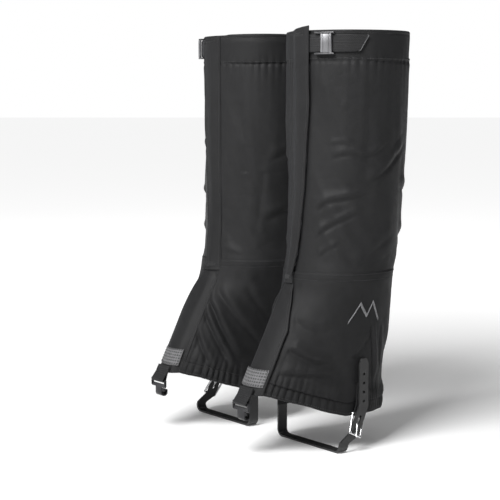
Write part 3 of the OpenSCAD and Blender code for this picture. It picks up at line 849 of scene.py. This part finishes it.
def refine(node, bevel, material, name=None, segments=3, angle=25, rough=0.0, max_edge=None, cl_axes=(1, 2), smooth_angle=40):
    """A copy of a rigid CAD node with its sharp edges rounded, and where asked its faces made dense and slightly uneven."""
    src = frame["nodes"][node]
    bm = bmesh.new()
    bm.from_mesh(src.data)
    bmesh.ops.remove_doubles(bm, verts=bm.verts, dist=1e-6)
    bmesh.ops.dissolve_limit(bm, angle_limit=math.radians(1.2), verts=bm.verts, edges=bm.edges)
    edges = [e for e in bm.edges if len(e.link_faces) == 2 and e.calc_face_angle(0) > math.radians(angle)]
    try:
        bmesh.ops.bevel(bm, geom=edges, offset=bevel * 0.001, offset_type="OFFSET", segments=segments, profile=0.5,
                        affect="EDGES", clamp_overlap=True)
    except Exception as error:
        print("bevel", node, error)
    if max_edge:
        bmesh.ops.triangulate(bm, faces=bm.faces)
        for _ in range(5):
            long = [e for e in bm.edges if e.calc_length() > max_edge * 0.001]
            if not long or len(bm.faces) > 60000:
                break
            bmesh.ops.subdivide_edges(bm, edges=long, cuts=1)
            bmesh.ops.triangulate(bm, faces=[f for f in bm.faces if len(f.verts) > 3])
    bmesh.ops.recalc_face_normals(bm, faces=bm.faces)
    if rough:
        bm.normal_update()
        fld = Field(5 + len(node), 9, 9)
        co = np.array([v.co for v in bm.verts]) * 1000
        d = rough * fld(co[:, 1] * 2.0 + co[:, 0], co[:, 2] * 1.3)
        for v, k in zip(bm.verts, d):
            v.co += v.normal * float(k) * 0.001
    me = bpy.data.meshes.new(name or node + "_finish")
    bm.to_mesh(me)
    bm.free()
    co = np.array([v.co for v in me.vertices]) * 1000
    a = me.attributes.new("cl", "FLOAT_VECTOR", "POINT")
    c = np.zeros((len(co), 3), np.float32)
    c[:, 0], c[:, 1] = co[:, cl_axes[0]], co[:, cl_axes[1]]
    a.data.foreach_set("vector", c.ravel())
    me.materials.append(material)
    me.polygons.foreach_set("use_smooth", np.full(len(me.polygons), True))
    ob = bpy.data.objects.new(name or node + "_finish", me)
    scene.collection.objects.link(ob)
    me.set_sharp_from_angle(angle=math.radians(smooth_angle))
    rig.replaces(ob, node)
    return ob


def line_on(patch, x, y, o=0.0):
    p, n = patch.at(np.asarray(x, float), np.asarray(y, float), o)
    return p, n


T0, T1 = -6.4, 352.0


def gaiter(side):
    L = lambda n: f"{side}_{n}"
    G, FU, FL = L("gaiter"), L("flap_upper"), L("flap_lower")
    mx = lambda p: (p[0] * 0.001, p[1] * 0.001, p[2] * 0.001) if side == "left" else ((-GAP - p[0]) * 0.001, p[1] * 0.001, p[2] * 0.001)
    thread = []
    f = F[side]

    # upper panel, from the cuff seam to just under the lower panel's lap
    t = np.linspace(T0, T1, 330)
    z = np.concatenate([np.linspace(-13, -40, 24)[:-1], np.linspace(-40, -250, 112)])
    T, Z = np.meshgrid(t, z)
    d = drape(side, T, Z)
    d = d - 0.7 * np.exp(-((Z + 16.5) / 2.2) ** 2)
    back_seam = np.exp(-((T - 181) / 2.4) ** 6)
    d = d * (1 - 0.4 * back_seam) + 0.5 * back_seam
    P, _ = base(T, Z, d)
    up = Patch(P, 0.6)
    ob = up.build(L("upper_panel"), side, M["upper"])
    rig.ride(ob, G)
    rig.replaces(ob, L("upper_shell"))
    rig.slot(ob, "upper_fabric")
    upper_panel = ob
    x = np.linspace(0, 1, 420)
    for tt in (178.9, 183.1):
        xx = (tt - T0) / (T1 - T0)
        thread.append(line_on(up, np.full(200, xx), np.linspace(0.04, 0.97, 200)))

    # lower panel, lapped over the upper one, with the gathers that the hem makes
    t = np.linspace(T0, T1, 470)
    s = np.linspace(0, 1, 78)
    T, S = np.meshgrid(t, s)
    top, bot = -243.0, hem(T) + 14
    Z = top + (bot - top) * S
    d = patches_flat(T, Z, drape(side, T, Z) + gathers(side, T, Z) * step((-300 - Z) / 40))
    d = d + 0.62 - 0.25 * np.exp(-((Z + 251.5) / 1.1) ** 2) - 0.22 * np.exp(-((Z + 245.2) / 0.9) ** 2) - 0.3 * step((Z + 244.2) / 1.2)
    back_seam = np.exp(-((T - 181) / 2.4) ** 6)
    d = d + 0.5 * back_seam
    P, _ = base(T, Z, d)
    lowp = Patch(P, 0.7)
    ob = lowp.build(L("lower_panel"), side, M["lower"])
    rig.ride(ob, G)
    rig.replaces(ob, L("lower_shell"))
    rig.slot(ob, "lower_fabric")
    lower_panel = ob
    bot1 = hem(t) + 14
    for zz in (-245.2, -251.5):
        thread.append(line_on(lowp, np.linspace(0, 1, 470), (top - zz) / (top - bot1)))
    for tt in (178.9, 183.1):
        xx = (tt - T0) / (T1 - T0)
        thread.append(line_on(lowp, np.full(120, xx), np.linspace(0.08, 0.98, 120)))

    # hem channel over the elastic
    t = np.linspace(T0, T1, 620)
    s = np.linspace(0, 1, 17)
    T, S = np.meshgrid(t, s)
    Z = hem(T) + 16 - 16 * S + 0.7 * f[5](T, T * 0 - 100) * S * 0.6
    d = gathers(side, T, hem(T) + 16 - 16 * S) + 0.75 * np.sin(S * math.pi) ** 0.8 + 0.5
    d = patches_flat(T, Z, d)
    d = d - 0.9 * np.exp(-((S - 0.07) / 0.05) ** 2) - 1.2 * step((S - 0.93) / 0.07)
    P, _ = base(T, Z, d)
    hemp = Patch(P, 0.9)
    ob = hemp.build(L("hem_channel_cloth"), side, M["lower"])
    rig.ride(ob, G)
    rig.replaces(ob, L("hem_channel"))
    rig.slot(ob, "lower_fabric")
    hem_piece = ob
    thread.append(line_on(hemp, np.linspace(0, 1, 620), np.full(620, 0.09)))
    thread.append(line_on(hemp, np.linspace(0, 1, 620), np.full(620, 0.82)))

    # the elastic itself, seen from inside
    T, S = np.meshgrid(np.linspace(T0 + 1, T1 - 1, 420), np.linspace(0, 1, 9))
    Z = hem(T) + 14 - 12 * S
    P, _ = base(T, Z, -1.5 + 0.35 * np.sin(np.radians(T) * 150))
    ob = Patch(P, 1.0).build(L("elastic_band"), side, M["elastic"])
    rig.ride(ob, G)
    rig.replaces(ob, L("hem_elastic"))
    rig.slot(ob, "elastic")
    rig.sheet(ob, (0.33, 0.012), "gathered", rests_on=[hem_piece], area=None)

    # cuff: a doubled band with a channel, puckered where it is sewn to the panel
    t = np.linspace(T0 - 0.8, T1 + 0.4, 430)
    z = np.concatenate([[16.2], np.linspace(15.9, 13.2, 6), np.linspace(12.4, -13, 26), np.linspace(-13.7, -16.8, 6)])
    T, Z = np.meshgrid(t, z)
    ph = T / 360 * 2 * math.pi * 46 + 1.6 * f[5](T, Z * 0 - 30)
    amp = 0.35 + 0.5 * step(0.5 + 0.6 * f[6](T, Z * 0 - 60))
    d = (0.55 * f[0](T, Z * 0.6) + 0.25 * f[1](T, Z)) * (0.4 + 0.6 * step((14 - Z) / 8)) * quiet(T, Z)
    flat_strap = window(T, -14, 64, 8)
    d = d * (1 - 0.85 * flat_strap)
    d = d + amp * 1.5 * (np.abs(np.sin(ph / 2)) ** 0.8 - 0.6) * np.exp(-np.abs(Z + 16) / 4.5) * (1 - 0.5 * flat_strap)
    d = d - 1.3 * step((-13.8 - Z) / 3.2) - 0.35 * np.exp(-((Z - 12.6) / 0.8) ** 2) * (1 - flat_strap)
    d = d - 0.9 * step((Z - 14.6) / 1.6) ** 2
    d = np.minimum(d, 1.1) - 0.25 * flat_strap
    P, _ = base(T, Z + 0.5 * f[0](T, T * 0 + 40) * step((Z - 10) / 6) * (1 - flat_strap), d)
    cuffp = Patch(P, 2.2)
    ob = cuffp.build(L("cuff_cloth"), side, M["cuff"])
    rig.ride(ob, G)
    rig.replaces(ob, L("cuff_band"))
    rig.slot(ob, "upper_fabric")
    cuff_piece = ob
    yy = lambda zz: np.interp(-zz, -z, np.linspace(0, 1, len(z)))
    thread.append(line_on(cuffp, np.linspace(0, 1, 430), np.full(430, yy(12.6))))
    thread.append(line_on(cuffp, np.linspace(0, 1, 430), np.full(430, yy(-14.2))))

    # loop tape on the lateral front edge, in two lengths
    vs, fs, cls, n0 = [], [], [], 0
    sewn_k, sewn_x = [-372, -250, -225, -150, 21], [-17, -16, -13, -9, -8.5]
    free_k, free_x = [-372, -304, -276, -248, -225, -160, -66, 21], [18, 20, 12, 1, 5, 11, 17, 17]
    for z0, z1 in ((-20, -238), (-270, -362)):
        z = np.linspace(z0, z1, int((z0 - z1) / 2))
        s = np.linspace(0, 1, 16)
        S, Z = np.meshgrid(s, z)
        A = at_x(np.interp(Z, sewn_k, sewn_x) + 8, Z)
        B = at_x(np.interp(Z, free_k, free_x) - 2, Z)
        P, _ = base(A + (B - A) * S, Z, 0.95 + 0.06 * f[1](S * 200, Z * 4) - 0.4 * (np.abs(S - 0.5) > 0.47))
        p = Patch(P, 0.8)
        v, fc = closed(p.P, p.inner)
        vs.append(v)
        fs.append(fc + n0)
        cls.append(np.concatenate([lengths(P)] * 2))
        n0 += len(v)
    ob = make(L("loop_tape_pile"), np.concatenate(vs), np.concatenate(fs), side, M["loop"], np.concatenate(cls))
    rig.ride(ob, G)
    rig.replaces(ob, L("loop_tape"))
    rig.slot(ob, "loop_tape")

    # the flaps
    def flap(z0, z1, rows, name, node, body, mat, axis_d, start, upper):
        z = np.linspace(z0, z1, rows)
        s = np.linspace(0, 1, 30)
        S, Z = np.meshgrid(s, z)
        if upper:  # the top edge climbs towards the free edge
            k = step((Z - 6) / 15)
            Z = Z - k * ((4.6 * (1 - S)) if side == "left" else (5.2 + 6.0 * S))
        wob = 0.35 * f[0](Z * 0 + 10, Z * 1.6) + 0.2 * f[1](Z * 0 + 50, Z)
        xa = np.interp(Z, sewn_k, sewn_x) - 2.6
        xb = np.interp(Z, free_k, free_x) + wob
        if upper:
            g = np.interp(Z, [-262, -250, -236, -225], [0, 0, 0, 0])
            xb = xb + g
        X = xa + (xb - xa) * S
        fromsewn, fromfree = X - xa, xb - X
        o = 0.7 + 3.5 * step(fromsewn / 13.0)
        o = o + (0.30 * f[0](S * 30 + 20, Z * 1.3) + 0.22 * f[1](S * 60, Z * 1.2)) * step(fromsewn / 8)
        o = o - 0.30 * np.exp(-((fromfree - 3.0) / 0.8) ** 2) - 0.16 * np.exp(-((fromsewn - 2.6) / 0.6) ** 2)
        o = o + 0.28 * step(1 - fromfree / 2.6) - 0.55 * np.exp(-(fromfree / 0.55) ** 2)
        if not upper:
            o = o - 1.95 * step((Z + 267) / 9)
            o = np.minimum(o, 4.25)
        if upper:
            o = o - 0.3 * np.exp(-((Z + 252.5) / 0.9) ** 2)
        o = np.maximum(o, 0.45)
        P, _ = base(at_x(X, Z), Z, o)
        thick = np.minimum(1.25, o + 0.25)
        p = Patch(P, thick)
        ob = p.build(name, side, mat)
        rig.replaces(ob, node)
        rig.slot(ob, "upper_fabric" if upper else "lower_fabric")
        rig.blend(ob, G, body, start=mx(start), end=mx((start[0] + 7 * axis_d[0], start[1] + 7 * axis_d[1], start[2] + 7 * axis_d[2])))
        rows_y = np.linspace(0.012, 0.988, 260)
        widths = (xb - xa)[:, 0]
        wy = np.interp(rows_y, np.linspace(0, 1, rows), widths)
        lines = [line_on(p, 1 - 3.0 / wy, rows_y), line_on(p, 2.6 / wy, rows_y)]
        return ob, p, lines

    def bent(ob, body, start, axis_d):
        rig.blend(ob, G, body, start=mx(start), end=mx((start[0] + 7 * axis_d[0], start[1] + 7 * axis_d[1], start[2] + 7 * axis_d[2])))

    ax_u, st_u = (1, 0, -5.5 / 248), (-10.6, -70.6, 0)
    ax_l, st_l = (1, -2 / 64, 0), (-16.8, -76.5, -250)
    ob_u, pu, lines_u = flap(21, -256, 200, L("flap_top_cloth"), L("upper_flap"), FU, M["flap"], ax_u, st_u, True)
    ob_l, pl, lines_l = flap(-244, -371.5, 110, L("flap_foot_cloth"), L("lower_flap"), FL, M["flap"], ax_l, st_l, False)
    xs = np.linspace(0.17, 0.93, 30)
    for y in (0.984, 0.968):
        lines_u.append(line_on(pu, xs, np.full(30, y)))
    # bar tacks where the flap ends and at the mid seam: short zigzags
    def tack(p, xc, yc, wx, hy, n=9):
        k = np.arange(2 * n)
        return line_on(p, xc + wx * (k / (2 * n - 1) - 0.5), yc + hy * ((k % 2) - 0.5))
    tacks_u = [tack(pu, 0.55, 0.976, 0.5, 0.02), tack(pu, 0.5, 0.03, 0.5, 0.02)]
    v, fc, cl = stitches(lines_u)
    v2, fc2, cl2 = stitches(tacks_u, pitch=1.6, length=1.9, r=0.3)
    n0 = len(v)
    ob = make(L("flap_top_stitching"), np.concatenate([v, v2]), list(fc) + [tuple(i + n0 for i in q) for q in fc2], side, M["thread"], np.concatenate([cl, cl2]))
    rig.slot(ob, "upper_fabric")
    bent(ob, FU, st_u, ax_u)
    # label on the foot flap
    z = np.linspace(-345, -363, 26)
    S, Z = np.meshgrid(np.linspace(0, 1, 34), z)
    A, B = at_x(np.interp(Z, sewn_k, sewn_x) + 2.2, Z), at_x(np.interp(Z, free_k, free_x) - 2.2, Z)
    P, _ = base(A + (B - A) * S, Z, 4.98 + 0.16 * f[1](S * 60, Z * 2) - 0.25 * (np.abs(S - 0.5) > 0.48) - 0.25 * (np.abs(Z + 354) > 8.3))
    lab = Patch(P, 0.5)
    ob = lab.build(L("label_cloth"), side, M["label"])
    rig.replaces(ob, L("woven_label"))
    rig.slot(ob, "label")
    bent(ob, FL, st_l, ax_l)
    e = np.linspace(0.04, 0.96, 40)
    lines_l += [line_on(lab, e, np.full(40, 0.06)), line_on(lab, e, np.full(40, 0.94)),
                line_on(lab, np.full(40, 0.035), e), line_on(lab, np.full(40, 0.965), e)]
    lines_l.append(line_on(pl, np.linspace(0.2, 0.9, 30), np.full(30, 0.985)))
    v, fc, cl = stitches(lines_l)
    ob = make(L("flap_foot_stitching"), v, fc, side, M["thread"], cl)
    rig.slot(ob, "lower_fabric")
    bent(ob, FL, st_l, ax_l)

    # hook tapes under the flaps
    for z0, z1, node, body, st, ax in ((-20, -238, L("upper_hook_tape"), FU, st_u, ax_u), (-272, -362, L("lower_hook_tape"), FL, st_l, ax_l)):
        z = np.linspace(z0, z1, int((z0 - z1) / 1.5))
        S, Z = np.meshgrid(np.linspace(0, 1, 26), z)
        A = at_x(np.interp(Z, sewn_k, sewn_x) + 9, Z)
        B = at_x(np.interp(Z, free_k, free_x) - 2, Z)
        P, _ = base(A + (B - A) * S, Z, 2.75)
        inner, _ = base(A + (B - A) * S, Z, 1.75 + 0.22 * (np.indices(Z.shape).sum(0) % 2))
        v, fc = closed(P, inner)
        ob = make(node + "_hooks", v, fc, side, M["hook"], np.concatenate([lengths(P)] * 2))
        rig.replaces(ob, node)
        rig.slot(ob, "hook_tape")
        bent(ob, body, st, ax)

    # toe tab: webbing folded round the hook's bar and sewn to the flap's foot
    tp = np.array([1, -146.6, -380.0])
    tilt = math.radians(27.7)
    uu, nn = np.array([0, math.sin(tilt), math.cos(tilt)]), np.array([0, math.cos(tilt), -math.sin(tilt)])
    pts, nr = [], []
    for k in np.linspace(17.5, 3.2, 14):
        off = 0.66 + 1.4 * step((8 - k) / 6)
        pts.append(uu * k - nn * off)
        nr.append(-nn)
    for a in np.linspace(200, 340, 20):
        c, s_ = math.cos(math.radians(a)), math.sin(math.radians(a))
        r = 2.15
        q = nn * (c * r) + uu * (s_ * r)
        pts.append(q)
        nr.append(nn * c + uu * s_)
    for k in np.linspace(3.2, 17.5, 14):
        off = 0.66 + 1.4 * step((8 - k) / 6)
        pts.append(uu * k + nn * off)
        nr.append(nn)
    pts, nr = np.array(pts), np.array(nr)
    k = np.array([0.25, 0.5, 0.25])
    for _ in range(2):
        pts[1:-1] = pts[:-2] * k[0] + pts[1:-1] * k[1] + pts[2:] * k[2]
    nr /= np.linalg.norm(nr, axis=1, keepdims=True)
    across = np.tile([1.0, 0, 0], (len(pts), 1))
    out, inn = strip(pts + tp, across, nr, 11.6, 1.0, n_w=26, crown=0.1)
    ob = loft(L("toe_tab_webbing"), out, inn, side, M["web"])
    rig.ride(ob, FL)
    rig.replaces(ob, L("toe_tab"))
    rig.slot(ob, "webbing")
    sew = []
    for kk in (7.0, 9.0, 14.5):
        xs = np.linspace(-9.8, 9.8, 24)
        off = 0.66 + 1.4 * step((8 - kk) / 6) + 0.62
        sew.append((tp + np.stack([xs, xs * 0, xs * 0], 1) + uu * kk - nn * off, np.tile(-nn, (24, 1))))
    v, fc, cl = stitches(sew, pitch=2.4, length=1.9)
    ob = make(L("toe_tab_stitching"), v, fc, side, M["thread"], cl)
    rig.ride(ob, FL)
    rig.slot(ob, "webbing")

    # cuff strap: webbing round the cuff, its tail cut at a slant
    s = np.linspace(0, 1, 170)
    w = np.linspace(-1, 1, 27)
    S, W = np.meshgrid(s, w, indexing="ij")
    end = 68.6 - 8.2 * (1 - W) / 2 - 1.6 * np.clip((np.abs(W) - 0.86) / 0.14, 0, 1) ** 2
    A = 2.2 + (end - 2.2) * S
    edge = np.clip((np.abs(W) - 0.9) / 0.1, 0, 1) ** 2
    lift = 0.9 * step((A - 54) / 14) + 0.35 * np.sin(np.radians(A * 9)) * step((A - 44) / 8)
    wave = 0.12 * np.sin(W * math.pi * 5.5)
    ro = 70.45 + lift - 0.42 * edge + wave * 0.6
    ri = 69.35 + lift + 0.42 * edge
    hw = 9.45 - 0.8 * step((A - 40) / 26)
    def cyl(r):
        return np.stack([r * np.sin(np.radians(A)), -r * np.cos(np.radians(A)), 2.0 + W * hw], -1)
    ob = loft(L("cuff_strap_webbing"), cyl(ro), cyl(ri), side, M["web"])
    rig.ride(ob, L("strap"))
    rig.replaces(ob, L("cuff_strap"))
    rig.slot(ob, "webbing")
    # the melted, paler end
    S2, W2 = np.meshgrid(np.linspace(0, 1, 5), w, indexing="ij")
    end2 = 68.6 - 8.2 * (1 - W2) / 2 - 1.6 * np.clip((np.abs(W2) - 0.86) / 0.14, 0, 1) ** 2
    A = end2 - 0.55 + 0.75 * S2
    lift = 0.9 * step((A - 54) / 14) + 0.35 * np.sin(np.radians(A * 9)) * step((A - 44) / 8)
    hw = 9.45 - 0.8 * step((A - 40) / 26) + 0.06
    bulge = 0.13 * np.sin(S2 * math.pi)
    W = W2
    ob = loft(L("cuff_strap_cut_end"), cyl(70.5 + lift + bulge), cyl(69.3 + lift - bulge), side, M["web_cut"])
    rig.ride(ob, L("strap"))
    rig.slot(ob, "webbing")

    # anchor webbing of the cam buckle, sewn to the cuff
    S, W = np.meshgrid(np.linspace(0, 1, 44), np.linspace(-1, 1, 21), indexing="ij")
    A = 38.3 + (54 - 38.3) * S
    hw = 9.3
    edge = np.clip((np.abs(W) - 0.9) / 0.1, 0, 1) ** 2
    ob = loft(L("buckle_anchor_webbing"), cyl(69.0 - 0.3 * edge), cyl(68.1 + 0 * edge), side, M["web"])
    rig.ride(ob, G)
    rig.replaces(ob, L("buckle_anchor"))
    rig.slot(ob, "webbing")

    # emblem: two plain peaks in satin stitch
    pk = np.array([[70, -297], [74.5, -287], [79, -277], [82.5, -284], [86, -291], [89, -283.5], [92, -276], [97, -286], [102, -296]], float)
    sN = 200
    q = np.linspace(0, len(pk) - 1, sN)
    pt = np.stack([np.interp(q, range(len(pk)), pk[:, c]) for c in (0, 1)], 1)
    ker = np.ones(5) / 5
    for c in (0, 1):
        pt[2:-2, c] = np.convolve(pt[:, c], ker, mode="valid")
    w = np.linspace(-1, 1, 13)
    P = np.zeros((sN, 13, 3))
    Nn = np.zeros((sN, 13, 3))
    for k, ww in enumerate(w):
        tt_, zz_ = pt[:, 0] + 0.25 * ww * 0, pt[:, 1] + 1.95 * ww
        tt_ = tt_ + 0.28 * ww
        bot_ = hem(tt_) + 14
        pos, nrm = lowp.at((tt_ - T0) / (T1 - T0), (top - zz_) / (top - bot_))
        P[:, k], Nn[:, k] = pos, nrm
    hgt = 0.62 * np.sqrt(np.clip(1 - (np.abs(w) ** 2.6), 0, 1)) + 0.02
    ridge = 0.07 * np.sin(np.arange(sN) * 2 * math.pi / 3.0)
    ob = loft(L("peak_emblem_satin"), P + Nn * (hgt[None, :, None] + ridge[:, None, None] * (1 - w ** 2)[None, :, None]), P - Nn * 0.15, side, M["embroidery"])
    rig.ride(ob, G)
    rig.replaces(ob, L("peak_emblem"))
    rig.slot(ob, "embroidery")

    # straps and hardware from the CAD solids, with rounded edges
    for node, bevel, mat, slot_name, body, kw in (
        (L("instep_strap"), 0.45, M["rubber"], "strap_rubber", G, dict(rough=0.05, max_edge=3.0)),
        (L("outer_anchor"), 0.3, M["web"], "webbing", G, dict(rough=0.05, max_edge=2.5)),
        (L("inner_anchor"), 0.3, M["web"], "webbing", G, dict(rough=0.04, max_edge=2.5)),
        (L("cuff_buckle"), 0.3, M["alloy"], "buckle_alloy", G, dict()),
        (L("cuff_lever_pin"), 0.15, M["steel"], "steel", G, dict()),
        (L("cuff_lever"), 0.35, M["lever"], "lever_alloy", L("lever"), dict()),
        (L("lace_hook"), 0.3, M["black_steel"], "steel", L("hook"), dict()),
        (L("instep_buckle"), 0.2, M["steel"], "steel", L("buckle"), dict(angle=50)),
        (L("instep_prong"), 0.2, M["steel"], "steel", L("prong"), dict(angle=50)),
        (L("strap_rivets"), 0.3, M["steel"], "steel", G, dict()),
    ):
        ob = refine(node, bevel, mat, **kw)
        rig.ride(ob, body)
        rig.slot(ob, slot_name)

    # a stitch line for an anchor is laid out here but not drawn; the stitching made is that of the seam lines gathered
    # above
    bp = np.array([52, -25.8, -400.5])
    sew = []
    def seg(p0, p1, nrm, n=16):
        k = np.linspace(0, 1, n)[:, None]
        return (np.array(p0) * (1 - k) + np.array(p1) * k, np.tile(np.array(nrm, float), (n, 1)))
    ix = -50.02
    for y0, y1 in ((-7, 7),):
        sew.append(seg((ix, -49.6 + y0, -404 + 36.5 - 0.5), (ix, -49.6 + y1, -404 + 36.5 - 0.5), (1, 0, 0)))
    v, fc, cl = stitches(thread)
    ob = make(L("seam_stitching"), v, fc, side, M["thread"], cl)
    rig.ride(ob, G)
    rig.slot(ob, "upper_fabric")

    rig.sheet(upper_panel, (0.42, 0.24), "hung", rests_on=[cuff_piece])
    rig.sheet(lower_panel, (0.45, 0.15), "hung", rests_on=[upper_panel])
    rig.sheet(hem_piece, (0.48, 0.018), "gathered", rests_on=[lower_panel])
    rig.sheet(cuff_piece, (0.43, 0.034), "stretched", rests_on=[upper_panel])
    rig.sheet(ob_u, (0.03, 0.277), "laid", rests_on=[upper_panel])
    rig.sheet(ob_l, (0.037, 0.15), "laid", rests_on=[lower_panel])


for s in ("left", "right"):
    gaiter(s)

# ---------------------------------------------------------------- studio
floor_z = cad_box[0][2] - 0.0004
verts, faces = [], []
R = [0.0, 0.3, 0.8, 1.6, 3.0, 6.0, 14.0, 40.0]
for r in R:
    for k in range(48):
        verts.append((r * math.cos(k * math.pi / 24), r * math.sin(k * math.pi / 24), 0.0))
for i in range(len(R) - 1):
    for k in range(48):
        faces.append((i * 48 + k, (i + 1) * 48 + k, (i + 1) * 48 + (k + 1) % 48, i * 48 + (k + 1) % 48))
me = bpy.data.meshes.new("studio_sweep")
me.from_pydata(verts, [], faces)
me.polygons.foreach_set("use_smooth", np.full(len(me.polygons), True))
floor = bpy.data.objects.new("studio_sweep", me)
scene.collection.objects.link(floor)
floor.location = (0, 0, floor_z)
fm, fnt, fb = nodes_of("studio_paper")
fnt.links.new(ramp(fnt, noise(fnt, 3.0), [(0.3, (0.86, 0.86, 0.86)), (0.7, (0.89, 0.89, 0.89))]), fb.inputs["Base Color"])
fb.inputs["Roughness"].default_value = 0.9
fb.inputs["Specular IOR Level"].default_value = 0.1
fb.inputs["Emission Color"].default_value = (1, 1, 1, 1)
# painted light: the paper glows, faintly near the object and more strongly away from it where the backdrop would be, so
# that it meets the white background without a line
ftc = fnt.nodes.new("ShaderNodeTexCoord")
flen = fnt.nodes.new("ShaderNodeVectorMath")
flen.operation = "LENGTH"
fnt.links.new(ftc.outputs["Object"], flen.inputs[0])
away = flen.outputs["Value"]
# painted light: the floor's glow strength rises with distance from the object
painted_glow_ramp = fnt.nodes.new("ShaderNodeMapRange")
painted_glow_ramp.interpolation_type = "SMOOTHSTEP"
for k, v in (("From Min", 0.15), ("From Max", 1.7), ("To Min", 0.10), ("To Max", 0.80)):
    painted_glow_ramp.inputs[k].default_value = v
fnt.links.new(away, painted_glow_ramp.inputs["Value"])
fnt.links.new(painted_glow_ramp.outputs[0], fb.inputs["Emission Strength"])
me.materials.append(fm)
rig.stage(floor)


def polar(az, el, dist, centre=(-0.06, -0.03, -0.2)):
    a, e = math.radians(az), math.radians(el)
    return Vector(centre) + Vector((math.sin(a) * math.cos(e), -math.cos(a) * math.cos(e), math.sin(e))) * dist


def area(name, az, el, dist, size, power, centre=(-0.06, -0.03, -0.2), size_y=None):
    data = bpy.data.lights.new(name, "AREA")
    data.energy = power
    data.shape = "RECTANGLE"
    data.size, data.size_y = size, size_y or size
    ob = bpy.data.objects.new(name, data)
    scene.collection.objects.link(ob)
    ob.location = polar(az, el, dist, centre)
    ob.rotation_mode = "QUATERNION"
    ob.rotation_quaternion = (Vector(centre) - ob.location).to_track_quat("-Z", "Y")
    return ob


area("key", 21, 42, 1.6, 0.8, 45, (-0.06, -0.03, -0.12))
area("top", 20, 82, 2.0, 1.8, 7)
area("back", 262, 35, 2.6, 1.2, 3)
world = bpy.data.worlds.new("studio")
scene.world = world
world.use_nodes = True
bg = world.node_tree.nodes["Background"]
bg.inputs["Color"].default_value = (1, 1, 1, 1)
bg.inputs["Strength"].default_value = 1.0
# the room: soft white in front, darker behind and to the right; the background behind the object stays white
wnt = world.node_tree
wtc = wnt.nodes.new("ShaderNodeTexCoord")
wdot = wnt.nodes.new("ShaderNodeVectorMath")
wdot.operation = "DOT_PRODUCT"
wdot.inputs[1].default_value = (0.20, -0.76, 0.62)
wnt.links.new(wtc.outputs["Generated"], wdot.inputs[0])
wr = wnt.nodes.new("ShaderNodeMapRange")
wr.interpolation_type = "SMOOTHSTEP"
for k, v in (("From Min", -0.9), ("From Max", 0.9), ("To Min", 0.02), ("To Max", 0.22)):
    wr.inputs[k].default_value = v
wnt.links.new(wdot.outputs["Value"], wr.inputs["Value"])
bg2 = wnt.nodes.new("ShaderNodeBackground")
wnt.links.new(wr.outputs[0], bg2.inputs["Strength"])
lp = wnt.nodes.new("ShaderNodeLightPath")
wmix = wnt.nodes.new("ShaderNodeMixShader")
wnt.links.new(lp.outputs["Is Camera Ray"], wmix.inputs[0])
wnt.links.new(bg2.outputs[0], wmix.inputs[1])
wnt.links.new(bg.outputs[0], wmix.inputs[2])
wnt.links.new(wmix.outputs[0], wnt.nodes["World Output"].inputs["Surface"])

cam_data = bpy.data.cameras.new("camera")
cam = bpy.data.objects.new("camera", cam_data)
scene.collection.objects.link(cam)
cam_data.sensor_width = 36
cam_data.lens = 103.68
cam_data.clip_start, cam_data.clip_end = 0.05, 30
cam.location = (1.22567, -1.03846, -0.057)
aim = Vector((-0.0643, -0.0866, -0.225))
cam.rotation_mode = "QUATERNION"
cam.rotation_quaternion = (aim - cam.location).to_track_quat("-Z", "Y")
scene.camera = cam
scene.view_settings.view_transform = "Standard"
scene.view_settings.look = "None"

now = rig.bounds()
with open("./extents.json", "w") as out_file:
    json.dump({"cad": [list(cad_box[0]), list(cad_box[1])], "visual": [list(now[0]), list(now[1])]}, out_file)
